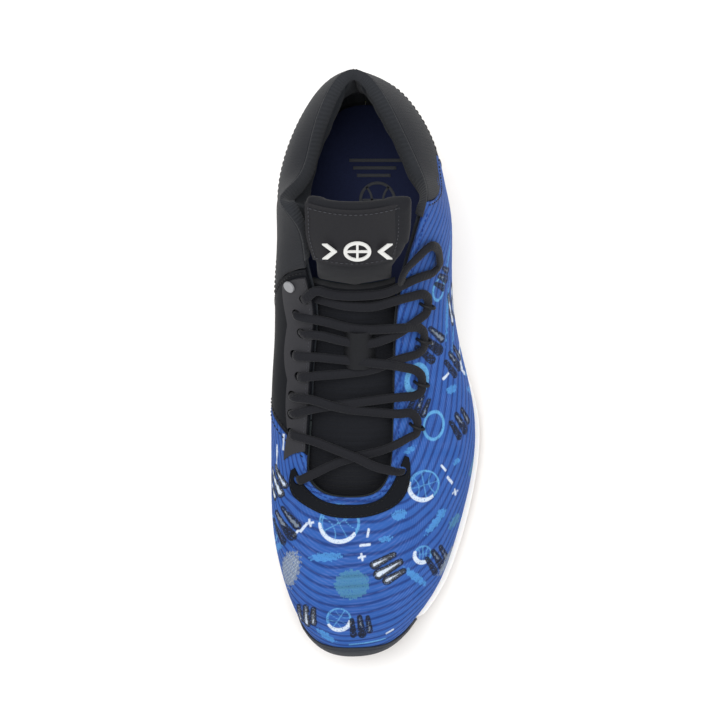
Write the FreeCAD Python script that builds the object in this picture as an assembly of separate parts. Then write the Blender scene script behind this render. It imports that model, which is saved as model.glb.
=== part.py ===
import FreeCAD, Part
import math
import os

# A left basketball high top. +Z is up, the toe points along -Y and the lateral side is +X.
# The origin is on the ground, under the middle of the shoe's overall box. Sizes are in millimetres.

V = FreeCAD.Vector

# ---------------------------------------------------------------- driving dimensions
SHOE_LENGTH = 305.0            # toe bumper to heel, on the ground plan
SHOE_WIDTH = 111.0             # medial bulge to lateral outrigger
UPPER_RISE = 108.5             # feather line to the top of the heel collar
OUTSOLE_THICKNESS = 4.0
TREAD_DEPTH = 1.6
TREAD_PITCH = 9.0
TREAD_GROOVE = 2.2
MIDSOLE_THICKNESS = 18.5       # at the ball of the foot
HEEL_LIFT = 8.0                # how much thicker the midsole is under the heel
TOE_SPRING = 9.0               # how far the sole curls off the ground at the toe tip
HEEL_BEVEL = 2.5
TEXTILE = 1.5                  # wall of the outer upper panels
OVERLAY = 1.1                  # wall of what is fused on top of them
STIFFENER = 1.3                # heel counter, toe puff and backing foam
LINING = 1.0
SKIN_GAP = 0.2                 # clearance between stacked layers
SEAM_GAP = 0.3                 # clearance between panels that meet edge to edge
COLLAR_PAD = 10.0              # extra depth of the collar foam at the ankle
HEEL_PAD = 4.0                 # the same at the back of the heel
STROBEL = 1.6
SOCKLINER = 5.0
SHANK = 1.8
CUSHION_DEPTH = 6.0
LACE_D = 4.0
LACE_HOLE_R = 2.7
LOOP_WIRE_R = 0.8              # cord of the lateral lace loops
LOOP_CLEAR = 0.6
TONGUE_HALF_WIDTH = 25.0
TONGUE_THICKNESS = 6.0
TONGUE_TOP_THICKNESS = 7.0
LABEL_THICKNESS = 1.2
MARK_HEIGHT = 0.8

# ---------------------------------------------------------------- proportions of the last
BASE_LENGTH = 305.0
BASE_WIDTH = 111.0
BASE_RISE = 108.5
BASE_GROUND_TO_FEATHER = 24.0
BOX_MIDDLE_X = 1.8             # the stations below are drawn about the last's own middle line

KX = SHOE_WIDTH / BASE_WIDTH
KY = SHOE_LENGTH / BASE_LENGTH
KZ = UPPER_RISE / BASE_RISE
SOLE_STACK = OUTSOLE_THICKNESS + MIDSOLE_THICKNESS


def place(x, y, z):
    """A point of the last, drawn at the base size, put where this shoe's size has it."""
    height = SOLE_STACK + 1.5 + (z - BASE_GROUND_TO_FEATHER) * KZ
    return V((x - BOX_MIDDLE_X) * KX, y * KY, height)


def ease(s):
    s = min(max(s, 0.0), 1.0)
    return s * s * (3.0 - 2.0 * s)


def ground_line(y):
    """Height of the sole's underside: flat from ball to heel, curled up at both ends."""
    y = y / KY
    if y < -85.0:
        return TOE_SPRING * ((-85.0 - y) / 68.0) ** 2
    if y > 128.0:
        return HEEL_BEVEL * ((y - 128.0) / 24.0) ** 2
    return 0.0


def footbed_line(y):
    """Height of the midsole's top face, where the upper's feather edge sits."""
    y = y / KY
    toe_curl = TOE_SPRING * 0.75 * (max(0.0, -90.0 - y) / 62.0) ** 2
    return SOLE_STACK + HEEL_LIFT * ease((y + 60.0) / 150.0) + toe_curl


# Each station is one rib of the last, from the feather edge up to the throat or collar edge:
# sole edge x, y; inset of the feather edge; top edge x, y, z; then the rib's two handles,
# which are outward and up from the feather edge, and outward and down from the top edge.
STATIONS = (
    (-9.0, -151.5, 3.0, -13.0, -63.5, 60.0, 1.0, 22.0, 42.0, 8.0),
    (9.0, -147.0, 3.0, -5.5, -63.2, 60.0, 2.0, 21.0, 40.0, 8.0),
    (24.5, -132.5, 3.5, 1.5, -61.0, 60.3, 4.0, 20.0, 38.0, 8.0),
    (38.5, -112.5, 5.0, 6.5, -55.5, 62.0, 7.0, 20.0, 34.0, 8.0),
    (49.0, -84.0, 7.0, 9.5, -44.0, 65.5, 11.0, 19.0, 32.0, 8.0),
    (56.0, -52.0, 7.0, 10.4, -22.0, 73.5, 12.0, 20.0, 34.0, 10.0),
    (56.5, -20.0, 7.0, 11.0, 2.0, 84.5, 12.0, 24.0, 30.0, 11.0),
    (47.0, 12.0, 5.0, 12.0, 28.0, 99.0, 10.0, 30.0, 27.0, 12.0),
    (40.0, 40.0, 3.0, 16.5, 54.0, 118.0, 10.0, 38.0, 20.0, 16.0),
    (38.0, 66.0, 3.0, 24.0, 80.0, 140.5, 8.0, 44.0, 17.0, 26.0),
    (37.5, 92.0, 3.0, 23.5, 98.0, 119.5, 5.0, 44.0, 14.0, 20.0),
    (33.0, 118.0, 3.0, 13.0, 120.5, 122.0, 4.0, 44.0, 15.0, 20.0),
    (18.0, 143.0, 3.0, 1.5, 139.5, 130.0, 4.0, 44.0, 9.0, 24.0),
    (-4.0, 152.0, 3.0, -9.5, 146.5, 132.5, 4.0, 42.0, 3.0, 26.0),
    (-27.0, 143.5, 3.0, -20.5, 140.0, 130.0, 4.0, 44.0, 9.0, 24.0),
    (-42.0, 118.0, 3.0, -30.0, 119.0, 121.5, 4.0, 44.0, 15.0, 20.0),
    (-46.0, 92.0, 3.0, -36.5, 98.0, 119.5, 6.0, 44.0, 16.0, 20.0),
    (-46.0, 68.0, 3.0, -45.0, 84.0, 139.0, 5.0, 44.0, 5.0, 26.0),
    (-45.0, 48.0, 3.0, -36.5, 70.0, 140.5, 8.0, 42.0, 17.0, 22.0),
    (-45.0, 30.0, 2.5, -33.5, 52.0, 119.0, 12.0, 36.0, 20.0, 16.0),
    (-46.5, 8.0, 2.5, -29.5, 33.0, 102.5, 14.0, 29.0, 22.0, 11.0),
    (-49.0, -16.0, 2.5, -31.0, 10.0, 88.5, 13.0, 24.0, 22.0, 10.0),
    (-51.0, -40.0, 2.5, -32.5, -13.0, 77.0, 11.0, 20.0, 20.0, 9.0),
    (-51.5, -64.0, 2.5, -34.0, -34.0, 69.0, 10.0, 19.0, 19.0, 8.0),
    (-50.5, -90.0, 2.5, -34.5, -50.0, 63.5, 9.0, 18.0, 20.0, 7.0),
    (-46.5, -115.0, 3.0, -31.5, -57.5, 61.0, 6.0, 19.0, 27.0, 8.0),
    (-38.0, -137.0, 3.0, -26.0, -61.3, 60.0, 3.0, 20.0, 37.0, 8.0),
    (-25.0, -149.0, 3.0, -19.5, -63.0, 60.0, 2.0, 21.0, 41.0, 8.0),
)
COUNT = len(STATIONS)
HEEL = 13.0                    # station of the back seam


def ring(values):
    """Control values of the smooth closed curve that passes through the given values."""
    control = list(values)
    for _ in range(30):
        blend = [(control[i - 1] + 4.0 * control[i] + control[(i + 1) % COUNT]) / 6.0
                 for i in range(COUNT)]
        control = [c + v - b for c, v, b in zip(control, values, blend)]
    return control


def on_ring(control, a):
    i = math.floor(a)
    f = a - i
    weights = ((1 - f) ** 3, 3 * f ** 3 - 6 * f * f + 4, -3 * f ** 3 + 3 * f * f + 3 * f + 1, f ** 3)
    return sum(w * control[(i - 1 + k) % COUNT] for k, w in enumerate(weights)) / 6.0


def point_ring(points):
    """A closed curve through points, as a function of the station number."""
    columns = [ring([p[k] for p in points]) for k in range(3)]
    return lambda a: V(*[on_ring(column, a) for column in columns])


sole_edge = point_ring([place(s[0], s[1], 0.0) for s in STATIONS])


def outward(a):
    """Level direction that points away from the shoe at a station of the sole's edge."""
    along = sole_edge(a + 0.02) - sole_edge(a - 0.02)
    return V(along.y, -along.x, 0.0).normalize()


def rib_handles(index):
    """The four points that shape one rib of the upper."""
    _, _, inset, tx, ty, tz, out_low, up_low, out_top, down_top = STATIONS[index]
    normal = outward(index)
    feather = sole_edge(index) - normal * inset
    feather.z = footbed_line(feather.y) + SEAM_GAP
    top = place(tx, ty, tz)
    low = feather + normal * (out_low * KX) + V(0, 0, up_low * KZ)
    high = top + normal * (out_top * KX) - V(0, 0, down_top * KZ)
    return feather, low, high, top


RIBS = [rib_handles(i) for i in range(COUNT)]
rails = [point_ring([rib[k] for rib in RIBS]) for k in range(4)]


def upper(a, t):
    """The upper's outer face: a is the station round the shoe, t runs from feather to top edge."""
    u = 1.0 - t
    weights = (u ** 3, 3 * u * u * t, 3 * u * t * t, t ** 3)
    total = V(0, 0, 0)
    for rail, weight in zip(rails, weights):
        total = total + rail(a) * weight
    return total


def upper_normal(a, t):
    step = 0.01
    low = max(t - step, 0.0)
    high = min(t + step, 1.0)
    round_way = upper(a + step, t) - upper(a - step, t)
    up_way = upper(a, high) - upper(a, low)
    return round_way.cross(up_way).normalize()


def skin(a, t, depth):
    """A point of the upper moved in (negative) or out (positive) along its normal."""
    return upper(a, t) + upper_normal(a, t) * depth


# ---------------------------------------------------------------- solids from two skins
def grid_face(grid):
    surface = Part.BSplineSurface()
    surface.interpolate(grid)
    return surface


def solid_between(outer, inner):
    """One closed solid between two grids of points of the same size."""
    skins = [grid_face(outer), grid_face(inner)]
    faces = [s.toShape() for s in skins]
    rims = []
    for s in skins:
        u0, u1, v0, v1 = s.bounds()
        rims.append([s.uIso(u0).toShape(), s.uIso(u1).toShape(),
                     s.vIso(v0).toShape(), s.vIso(v1).toShape()])
    faces += [Part.makeRuledSurface(one, two, 1) for one, two in zip(*rims)]
    shell = Part.makeShell(faces)
    shell.sewShape()
    solid = Part.makeSolid(shell)
    if solid.Volume < 0:
        solid.reverse()
    return solid


def span(low, high, count):
    return [low + (high - low) * i / (count - 1) for i in range(count)]


def panel(region, outer_depth, inner_depth, across=22, up=9):
    """A shell on the upper. region(s, r) gives station and height for s, r in 0..1."""
    grids = []
    for depth in (outer_depth, inner_depth):
        grid = []
        for s in span(0.0, 1.0, across):
            row = []
            for r in span(0.0, 1.0, up):
                a, t = region(s, r)
                row.append(skin(a, t, depth(a, t) if callable(depth) else depth))
            grid.append(row)
        grids.append(grid)
    return solid_between(*grids)


def patch(a0, a1, t0, t1):
    """A plain rectangular region; each limit may be a function."""
    def region(s, r):
        left = a0(r) if callable(a0) else a0
        right = a1(r) if callable(a1) else a1
        a = left + (right - left) * s
        low = t0(a) if callable(t0) else t0
        high = t1(a) if callable(t1) else t1
        return a, low + (high - low) * r
    return region


parts = {}

# ---------------------------------------------------------------- sole
TOE_GUARD = 1.6                # wall of the toe bumper
OUTRIGGER = 1.0                # how far the outsole stands proud on the lateral side
BALL_END = -14.0               # the forefoot pad ends here, at the base length
HEEL_START = 42.0
PAD_END_R = 90.0               # curve of the pads' facing ends
FAR = 400.0                    # larger than anything in the shoe
BELOW = 10.0                   # how far the cutting columns start under the ground

insets = ring([s[2] for s in STATIONS])


def near_toe(a):
    """1 across the toe bumper, falling to 0 just past its ends."""
    distance = min(a % COUNT, COUNT - a % COUNT)
    return ease((3.5 - distance) / 0.9)


def outline(inset):
    """The closed ground plan of the sole, moved in by inset(a)."""
    points = []
    for i in range(3 * COUNT):
        a = i / 3.0
        edge = sole_edge(a) - outward(a) * inset(a)
        points.append(V(edge.x, edge.y, 0.0))
    curve = Part.BSplineCurve()
    curve.interpolate(Points=points, PeriodicFlag=True)
    return Part.Face(Part.Wire(curve.toShape()))


def band(low, high, half=FAR):
    """Everything between two height lines, as wide as it needs to be."""
    def line(heights):
        edges = []
        for y0, y1, count in ((-175.0, -90.0, 22), (-90.0, -85.0, 3), (-85.0, 128.0, 28),
                              (128.0, 175.0, 10)):
            ys = span(y0 * KY, y1 * KY, count)
            points = [V(-half, y, heights(y)) for y in ys]
            if max(p.z for p in points) - min(p.z for p in points) < 1e-9:
                edges.append(Part.makeLine(points[0], points[-1]))
            else:
                curve = Part.BSplineCurve()
                curve.interpolate(points)
                edges.append(curve.toShape())
        return edges
    bottom = line(low)
    top = line(high)
    ends = [Part.makeLine(bottom[0].valueAt(bottom[0].FirstParameter),
                          top[0].valueAt(top[0].FirstParameter)),
            Part.makeLine(bottom[-1].valueAt(bottom[-1].LastParameter),
                          top[-1].valueAt(top[-1].LastParameter))]
    wire = Part.Wire(Part.__sortEdges__(bottom + top + ends))
    return Part.Face(wire).extrude(V(2 * half, 0, 0))


def slab(inset, low, high):
    """A layer of the sole with the given plan, between two height lines."""
    column = outline(inset)
    column.translate(V(0, 0, -BELOW))
    return column.extrude(V(0, 0, 90.0 + BELOW)).common(band(low, high))


def stretch(y0, y1):
    return Part.makeBox(FAR, (y1 - y0) * KY, FAR, V(-FAR / 2, y0 * KY, -FAR / 2))


def raised(line, amount):
    return lambda y: line(y) + amount


def zigzag(y):
    """One herringbone groove across the sole, as a ribbon of zigzags."""
    half = TREAD_GROOVE / 2
    reach = 8
    step = 8.0
    knees = [(i * step, y + (2.5 if i % 2 else -2.5)) for i in range(-reach, reach + 1)]
    ring_points = [V(x, yy - half, -1.0) for x, yy in knees]
    ring_points += [V(x, yy + half, -1.0) for x, yy in reversed(knees)]
    ribbon = Part.Face(Part.makePolygon(ring_points + ring_points[:1]))
    return ribbon.extrude(V(0, 0, 1.0 + ground_line(y) + TREAD_DEPTH))


def grooves(y0, y1):
    count = int((y1 - y0) * KY / TREAD_PITCH)
    return Part.makeCompound([zigzag(y0 * KY + TREAD_PITCH * (i + 0.5)) for i in range(count)])


def outsole_inset(a):
    lateral = ease((a - 3.0) / 1.5) * ease((7.0 - a) / 1.5)
    return 0.5 - (0.5 + OUTRIGGER) * lateral


rubber = slab(outsole_inset, ground_line, raised(ground_line, OUTSOLE_THICKNESS))
arch = Part.makeCylinder(PAD_END_R, FAR, V(0, BALL_END * KY + PAD_END_R, -FAR / 2))
forefoot_rubber = rubber.common(stretch(-200, BALL_END + 30)).cut(arch)
parts["outsole_forefoot"] = forefoot_rubber.cut(grooves(-146, BALL_END - 4))
arch = Part.makeCylinder(PAD_END_R, FAR, V(0, HEEL_START * KY - PAD_END_R, -FAR / 2))
heel_rubber = rubber.common(stretch(HEEL_START - 30, 200)).cut(arch)
parts["outsole_heel"] = heel_rubber.cut(grooves(HEEL_START + 5, 146))


def midsole_inset(a):
    return (TOE_GUARD + 2 * SEAM_GAP) * near_toe(a)


midsole_floor = raised(ground_line, OUTSOLE_THICKNESS + SKIN_GAP)
midsole = slab(midsole_inset, midsole_floor, footbed_line)

SHANK_SPAN = (-50.0, 74.0)
SHANK_INSET = 15.0
shank_top = OUTSOLE_THICKNESS + SKIN_GAP + SHANK


def shank_body(grow):
    plate = slab(lambda a: SHANK_INSET - grow, raised(ground_line, OUTSOLE_THICKNESS),
                 raised(ground_line, shank_top + grow))
    return plate.common(stretch(SHANK_SPAN[0] - grow, SHANK_SPAN[1] + grow))


midsole = midsole.cut(shank_body(SEAM_GAP))
parts["shank_plate"] = shank_body(0.0).common(
    Part.makeBox(FAR, FAR, FAR, V(-FAR / 2, -FAR / 2, OUTSOLE_THICKNESS + SKIN_GAP)))

CUSHIONS = {"forefoot_cushion": (-105.0, -45.0, 18.0), "heel_cushion": (72.0, 132.0, 16.0)}


def cushion_body(y0, y1, inset, grow):
    unit = slab(lambda a: inset - grow, raised(footbed_line, -CUSHION_DEPTH - grow),
                raised(footbed_line, grow - SKIN_GAP))
    return unit.common(stretch(y0 - grow, y1 + grow))


for name, (y0, y1, inset) in CUSHIONS.items():
    midsole = midsole.cut(cushion_body(y0, y1, inset, SEAM_GAP))
    parts[name] = cushion_body(y0, y1, inset, 0.0)
parts["midsole"] = midsole

WALL = TEXTILE + SKIN_GAP + STIFFENER + SKIN_GAP + LINING
strobel_floor = raised(footbed_line, SEAM_GAP)
strobel_top = raised(footbed_line, SEAM_GAP + STROBEL)
parts["strobel_board"] = slab(lambda a: on_ring(insets, a) + WALL + 0.6, strobel_floor, strobel_top)
sock_floor = raised(footbed_line, SEAM_GAP + STROBEL + SEAM_GAP)
sock_top = raised(footbed_line, SEAM_GAP + STROBEL + SEAM_GAP + SOCKLINER)
parts["sockliner"] = slab(lambda a: on_ring(insets, a) + WALL + 1.4, sock_floor, sock_top)

# ---------------------------------------------------------------- upper panels
SEAM_STEP = 0.02               # seam clearance, in stations
SEAM_RISE = 0.004              # seam clearance, in rib fractions
WING = 9.15                    # station where the lateral textile meets the collar knit
MEDIAL_WING = 19.0             # station where the medial panel meets the collar knit
KNIT_LOW = 0.5                 # rib fraction where the collar knit starts
BACKING_DEPTH = TEXTILE + SKIN_GAP
LINING_DEPTH = BACKING_DEPTH + STIFFENER + SKIN_GAP


def medial_break(t):
    """Station of the slanting seam between the black medial panel and the blue textile."""
    return 20.2 + 3.2 * t


def lateral_break(t):
    """Station of the seam between the blue textile and the collar knit: it leans back as it drops."""
    return WING + 1.5 * ease(2.0 * (1.0 - t))


parts["upper_textile"] = panel(
    patch(lambda r: medial_break(r) - COUNT + SEAM_STEP, lambda r: lateral_break(r) - SEAM_STEP, 0.0, 1.0),
    0.0, -TEXTILE, across=84, up=22)
medial_quarter = panel(
    patch(MEDIAL_WING + SEAM_STEP, lambda r: medial_break(r) - SEAM_STEP, 0.0, 1.0), 0.0, -TEXTILE)
parts["heel_panel"] = panel(
    patch(lateral_break(0.0) + SEAM_STEP, MEDIAL_WING - SEAM_STEP, 0.0, KNIT_LOW - SEAM_RISE),
    0.0, -TEXTILE, across=40)
SIDES = {"lateral": (WING + SEAM_STEP, HEEL - SEAM_STEP),
         "medial": (HEEL + SEAM_STEP, MEDIAL_WING - SEAM_STEP)}
KNIT_STARTS = {"lateral": lambda r: lateral_break(KNIT_LOW + (1.0 - KNIT_LOW) * r) + SEAM_STEP,
               "medial": SIDES["medial"][0]}
for side, (a0, a1) in SIDES.items():
    parts["collar_knit_" + side] = panel(patch(KNIT_STARTS[side], a1, KNIT_LOW + SEAM_RISE, 1.0),
                                         0.0, -TEXTILE)


def pad_depth(a, t):
    """How far the collar foam pushes the lining inward."""
    ankle = ease((a - 8.9) / 1.6) * ease((18.6 - a) / 1.6)
    heel = ease(1.0 - abs(a - HEEL) / 1.9)
    deepest = COLLAR_PAD * ankle + (HEEL_PAD - COLLAR_PAD) * heel
    rise = ease((t - 0.42) / 0.3) * (1.0 - 0.75 * ease((t - 0.8) / 0.2))
    return deepest * rise


def lining_face(a, t):
    return -(LINING_DEPTH + pad_depth(a, t))


def lining_back(a, t):
    return lining_face(a, t) - LINING


LINING_SPLIT = 5.5             # station of the lateral seam between vamp and collar linings
LINING_SPLIT_MEDIAL = 22.5
LININGS = {
    "collar_lining_lateral": (LINING_SPLIT + SEAM_STEP, HEEL - SEAM_STEP, 56),
    "collar_lining_medial": (HEEL + SEAM_STEP, LINING_SPLIT_MEDIAL - SEAM_STEP, 64),
    "vamp_lining": (LINING_SPLIT_MEDIAL - COUNT + SEAM_STEP, LINING_SPLIT - SEAM_STEP, 44),
}
linings = {name: panel(patch(a0, a1, 0.0, 1.0), lining_face, lining_back, across=count, up=24)
           for name, (a0, a1, count) in LININGS.items()}

FOAM_LOW = 0.52
FOAM_HIGH = 0.985
for side, (a0, a1) in SIDES.items():
    parts["collar_foam_" + side] = panel(
        patch(a0 + SEAM_STEP, a1 - SEAM_STEP, FOAM_LOW, FOAM_HIGH), -BACKING_DEPTH,
        lambda a, t: lining_face(a, t) + 2 * SKIN_GAP, across=36, up=20)

parts["heel_counter"] = panel(patch(9.6, 17.2, 0.01, 0.46), -BACKING_DEPTH,
                              -BACKING_DEPTH - STIFFENER, across=34)
parts["toe_puff"] = panel(patch(-2.6, 2.6, 0.01, 0.42), -BACKING_DEPTH,
                          -BACKING_DEPTH - STIFFENER, across=30)
backings = {
    "quarter_backing_lateral": panel(patch(3.4, 8.9, 0.02, 0.97), -BACKING_DEPTH,
                                     -BACKING_DEPTH - STIFFENER, across=48, up=18),
    "quarter_backing_medial": panel(patch(19.2, 24.4, 0.02, 0.97), -BACKING_DEPTH,
                                    -BACKING_DEPTH - STIFFENER, across=48, up=18),
}


def from_top(a, distance):
    """Rib fraction that lies this many millimetres below the top edge."""
    return 1.0 - distance / (3.0 * (rails[3](a) - rails[2](a)).Length)


# Medial eyestay: a fused grey overlay with a scalloped lower edge and eight lace holes.
EYESTAY = (19.2, 23.25)
EYESTAY_WIDTH = 20.0
SCALLOP = 2.2
SCALLOP_STEP = 1.2


def eyestay_low(a):
    wave = abs(math.sin(math.pi * (a - 20.2) / SCALLOP_STEP))
    narrowing = 5.0 * ease((a - 20.2) / 2.2)
    return from_top(a, EYESTAY_WIDTH - narrowing - SCALLOP * (1.0 - wave))


eyestay = panel(patch(EYESTAY[0], EYESTAY[1], eyestay_low, lambda a: from_top(a, 0.6)),
                SKIN_GAP + OVERLAY, SKIN_GAP, across=60, up=7)

# Binding folded over the collar's top edge, from wing to wing.
BINDING_ENDS = (8.8, 18.8)
BINDING_WALL = 0.9
BINDING_CROWN = 0.8


def binding_grid(lift, crown):
    grid = []
    for a in span(*BINDING_ENDS, 70):
        rise = (rails[3](a) - rails[2](a)).normalize()
        depth = -lining_back(a, 1.0)
        grid.append([skin(a, 1.0, -depth * w) + rise * (lift + crown * math.sin(math.pi * w))
                     for w in span(0.0, 1.0, 7)])
    return grid


parts["collar_binding"] = solid_between(binding_grid(SKIN_GAP + BINDING_WALL, BINDING_CROWN),
                                        binding_grid(SKIN_GAP, 0.0))

# Saddle strap round the base of the throat.
STRAP_ENDS = (-4.3, 4.25)
STRAP_WIDTH = 7.0
STRAP_STAND_OFF = 3.5


def strap_region(s, r):
    a = STRAP_ENDS[0] + (STRAP_ENDS[1] - STRAP_ENDS[0]) * s
    end = abs(2.0 * s - 1.0)
    width = (STRAP_WIDTH + 3.0 * ease((end - 0.3) / 0.5)) * math.sqrt(max(1.0 - end ** 6, 0.06))
    middle = STRAP_STAND_OFF + STRAP_WIDTH / 2 + 1.0 * end
    return a, from_top(a, middle + width * (0.5 - r))


parts["vamp_strap"] = panel(strap_region, SKIN_GAP + OVERLAY, SKIN_GAP, across=50, up=7)

# Toe bumper: a rubber guard that rises from the outsole over the midsole's front and the toe.
BUMPER_ENDS = (-2.35, 2.0)


def bumper_grid(depth):
    grid = []
    for s in span(0.0, 1.0, 36):
        a = BUMPER_ENDS[0] + (BUMPER_ENDS[1] - BUMPER_ENDS[0]) * s
        lap = 0.03 + 0.17 * math.sin(math.pi * s) ** 0.8
        edge = sole_edge(a) - outward(a) * (SEAM_GAP - depth)
        foot = ground_line(edge.y) + OUTSOLE_THICKNESS + SEAM_GAP
        brow = footbed_line(edge.y)
        clearance = OVERLAY + SKIN_GAP + depth
        row = [V(edge.x, edge.y, foot + (brow - foot) * h) for h in (0.0, 0.3, 0.6, 0.85)]
        row += [skin(a, 0.04 + (lap - 0.04) * h, clearance) for h in (0.35, 0.6, 0.8, 1.0)]
        grid.append(row)
    return grid


parts["toe_bumper"] = solid_between(bumper_grid(0.0), bumper_grid(-OVERLAY))


# ---------------------------------------------------------------- lace holes
def on(a, distance, depth):
    """A point over or under the upper, this far below its top edge."""
    return skin(a, from_top(a, distance), depth)


HOLES = {                      # station, distance below the throat edge
    "h1a": (19.74, 4.6), "h1b": (20.05, 10.5), "h2": (20.50, 7.0), "h3": (20.93, 10.5),
    "h4": (21.42, 6.5), "h5": (21.80, 10.5), "h6": (22.22, 10.6), "h7": (22.66, 10.6),
    "ear_medial": (24.25, 5.2), "ear_lateral": (3.80, 5.8),
}
drills = []
for a, distance in HOLES.values():
    mouth = on(a, distance, 4.0)
    way_in = on(a, distance, -9.0) - mouth
    drills.append(Part.makeCylinder(LACE_HOLE_R, way_in.Length, mouth, way_in))
drills = Part.makeCompound(drills)

for name in ("upper_textile", "vamp_strap"):
    parts[name] = parts[name].cut(drills)
parts["medial_quarter"] = medial_quarter.cut(drills)
parts["medial_eyestay"] = eyestay.cut(drills)
for name, shape in list(linings.items()) + list(backings.items()):
    parts[name] = shape.cut(drills)

# Disc rivet at the top of the eyestay.
RIVET_R = 3.0
RIVET_HEAD = 1.4
rivet_seat = skin(19.32, from_top(19.32, 12.0), 2 * SKIN_GAP + OVERLAY)
rivet_axis = upper_normal(19.32, from_top(19.32, 12.0))
rivet = Part.makeCylinder(RIVET_R, RIVET_HEAD, rivet_seat, rivet_axis)
parts["eyestay_rivet"] = rivet.makeFillet(0.5, [rivet.Edges[0]])

# ---------------------------------------------------------------- tongue
TONGUE_X = -10.0               # middle of the throat, on the last


def spine(points):
    curve = Part.BSplineCurve()
    curve.interpolate([place(TONGUE_X, y, z) for y, z in points])
    first, last = curve.FirstParameter, curve.LastParameter
    return lambda v: (curve.value(first + (last - first) * v),
                      curve.tangent(first + (last - first) * v)[0].normalize())


def tongue_point(line, half_width, sag, u, v, depth):
    """A point of a tongue piece: u runs -1..1 across, v runs 0..1 up, depth is behind its face."""
    centre, along = line(v)
    front = V(0, -along.z, along.y)
    return centre + V(u * half_width(v), 0, 0) - front * (depth + sag(v) * u * u)


def tongue_piece(line, half_width, sag, us, vs, front_depth, back_depth):
    grids = []
    for depth in (front_depth, back_depth):
        grids.append([[tongue_point(line, half_width, sag, u, v, depth)
                       for v in span(vs[0], vs[1], 14)] for u in span(us[0], us[1], 13)])
    return solid_between(*grids)


LOWER_TONGUE = ((-78.0, 44.0), (-66.0, 47.5), (-56.0, 54.5), (-44.0, 62.5), (-22.0, 71.5), (2.0, 82.5),
                (22.0, 93.0), (34.0, 100.5), (42.5, 106.0))
UPPER_TONGUE = ((44.6, 110.0), (46.0, 119.0), (52.0, 133.0), (64.0, 149.0), (77.5, 164.0))
lower_line = spine(LOWER_TONGUE)
upper_line = spine(UPPER_TONGUE)
TONGUE_COVER = 0.9


def lower_width(v):
    return (TONGUE_HALF_WIDTH - 4.5 * ease((v - 0.6) / 0.35)) * KX


def lower_sag(v):
    return 4.0 + 3.0 * ease(v / 0.4)


def upper_width(v):
    return (TONGUE_HALF_WIDTH - 6.5 + 4.5 * ease((v - 0.25) / 0.5)) * KX


def upper_sag(v):
    return 3.0 + 3.0 * v


def layers(prefix, line, half_width, sag, thickness):
    """Cover, foam and lining of one tongue piece, each a solid of its own."""
    faces = (0.0, TONGUE_COVER, TONGUE_COVER + SKIN_GAP, thickness - TONGUE_COVER - SKIN_GAP,
             thickness - TONGUE_COVER, thickness)
    for name, front, back in (("cover", 0, 1), ("foam", 2, 3), ("lining", 4, 5)):
        parts[prefix + name] = tongue_piece(line, half_width, sag, (-1, 1), (0, 1),
                                            faces[front], faces[back])


layers("tongue_", lower_line, lower_width, lower_sag, TONGUE_THICKNESS)
layers("tongue_top_", upper_line, upper_width, upper_sag, TONGUE_TOP_THICKNESS)
LABEL = ((-0.98, 0.98), (0.42, 0.985))
parts["tongue_label"] = tongue_piece(upper_line, upper_width, upper_sag, LABEL[0], LABEL[1],
                                     -SKIN_GAP - LABEL_THICKNESS, -SKIN_GAP)

# Raised plain mark on the label: a ball outline with a chevron each side.
MARK_R = 6.5
MARK_LINE = 1.6
mark_depth = -SKIN_GAP - LABEL_THICKNESS - SKIN_GAP
mark_centre = tongue_point(upper_line, upper_width, upper_sag, 0.08, 0.6, mark_depth)
_, mark_up = upper_line(0.6)
mark_front = V(0, -mark_up.z, mark_up.y)
mark_frame = FreeCAD.Placement(mark_centre, FreeCAD.Rotation(V(1, 0, 0), mark_up, mark_front, "ZXY"))
ball = Part.makeCylinder(MARK_R, MARK_HEIGHT).cut(Part.makeCylinder(MARK_R - MARK_LINE, MARK_HEIGHT))
seam = Part.makeBox(2 * MARK_R - MARK_LINE, MARK_LINE * 0.7, MARK_HEIGHT,
                    V(-MARK_R + MARK_LINE / 2, -MARK_LINE * 0.35, 0))
ball = ball.fuse([seam, seam.rotated(V(0, 0, 0), V(0, 0, 1), 90)]).removeSplitter()
chevrons = []
for side in (-1, 1):
    knees = [(9.5, 0.0), (14.0, 5.0), (16.5, 5.0), (12.0, 0.0), (16.5, -5.0), (14.0, -5.0), (9.5, 0.0)]
    outline_points = [V(side * x, y, 0) for x, y in knees]
    chevrons.append(Part.Face(Part.makePolygon(outline_points)).extrude(V(0, 0, MARK_HEIGHT)))
mark = Part.makeCompound([ball] + chevrons)
mark.Placement = mark_frame
parts["label_mark"] = mark

# Webbing keeper that holds two lace runs on the tongue.
KEEPER_V = (0.69, 0.845)
KEEPER_HALF = 0.30
KEEPER_WALL = 0.9
KEEPER_RISE = LACE_D + 2.2


def keeper_grid(lift):
    """The keeper's arch over the lace, moved out along its own normal."""
    grid = []
    for u in span(-1.0, 1.0, 31):
        row = []
        for v in span(*KEEPER_V, 5):
            slope = -4.0 * KEEPER_RISE * u ** 3 / (KEEPER_HALF * lower_width(v))
            slant = math.hypot(slope, 1.0)
            across = 0.12 + KEEPER_HALF * u - lift * slope / slant / lower_width(v)
            rise = KEEPER_RISE * (1.0 - u ** 4) + lift / slant
            row.append(tongue_point(lower_line, lower_width, lower_sag, across, v, -SKIN_GAP - rise))
        grid.append(row)
    return grid


parts["lace_keeper"] = solid_between(keeper_grid(KEEPER_WALL), keeper_grid(0.0))

# ---------------------------------------------------------------- lace
MARGIN = SKIN_GAP + OVERLAY + LACE_D / 2 + 0.4
UNDER = -(WALL + LACE_D / 2 + 0.6)
OVER_BLUE = LACE_D / 2 + 0.3


def through(name, inward):
    """The two lace points over and under one hole, in the order the lace meets them."""
    a, distance = HOLES[name]
    ends = [on(a, distance, MARGIN), on(a, distance, UNDER)]
    return ends if inward else ends[::-1]


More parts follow.
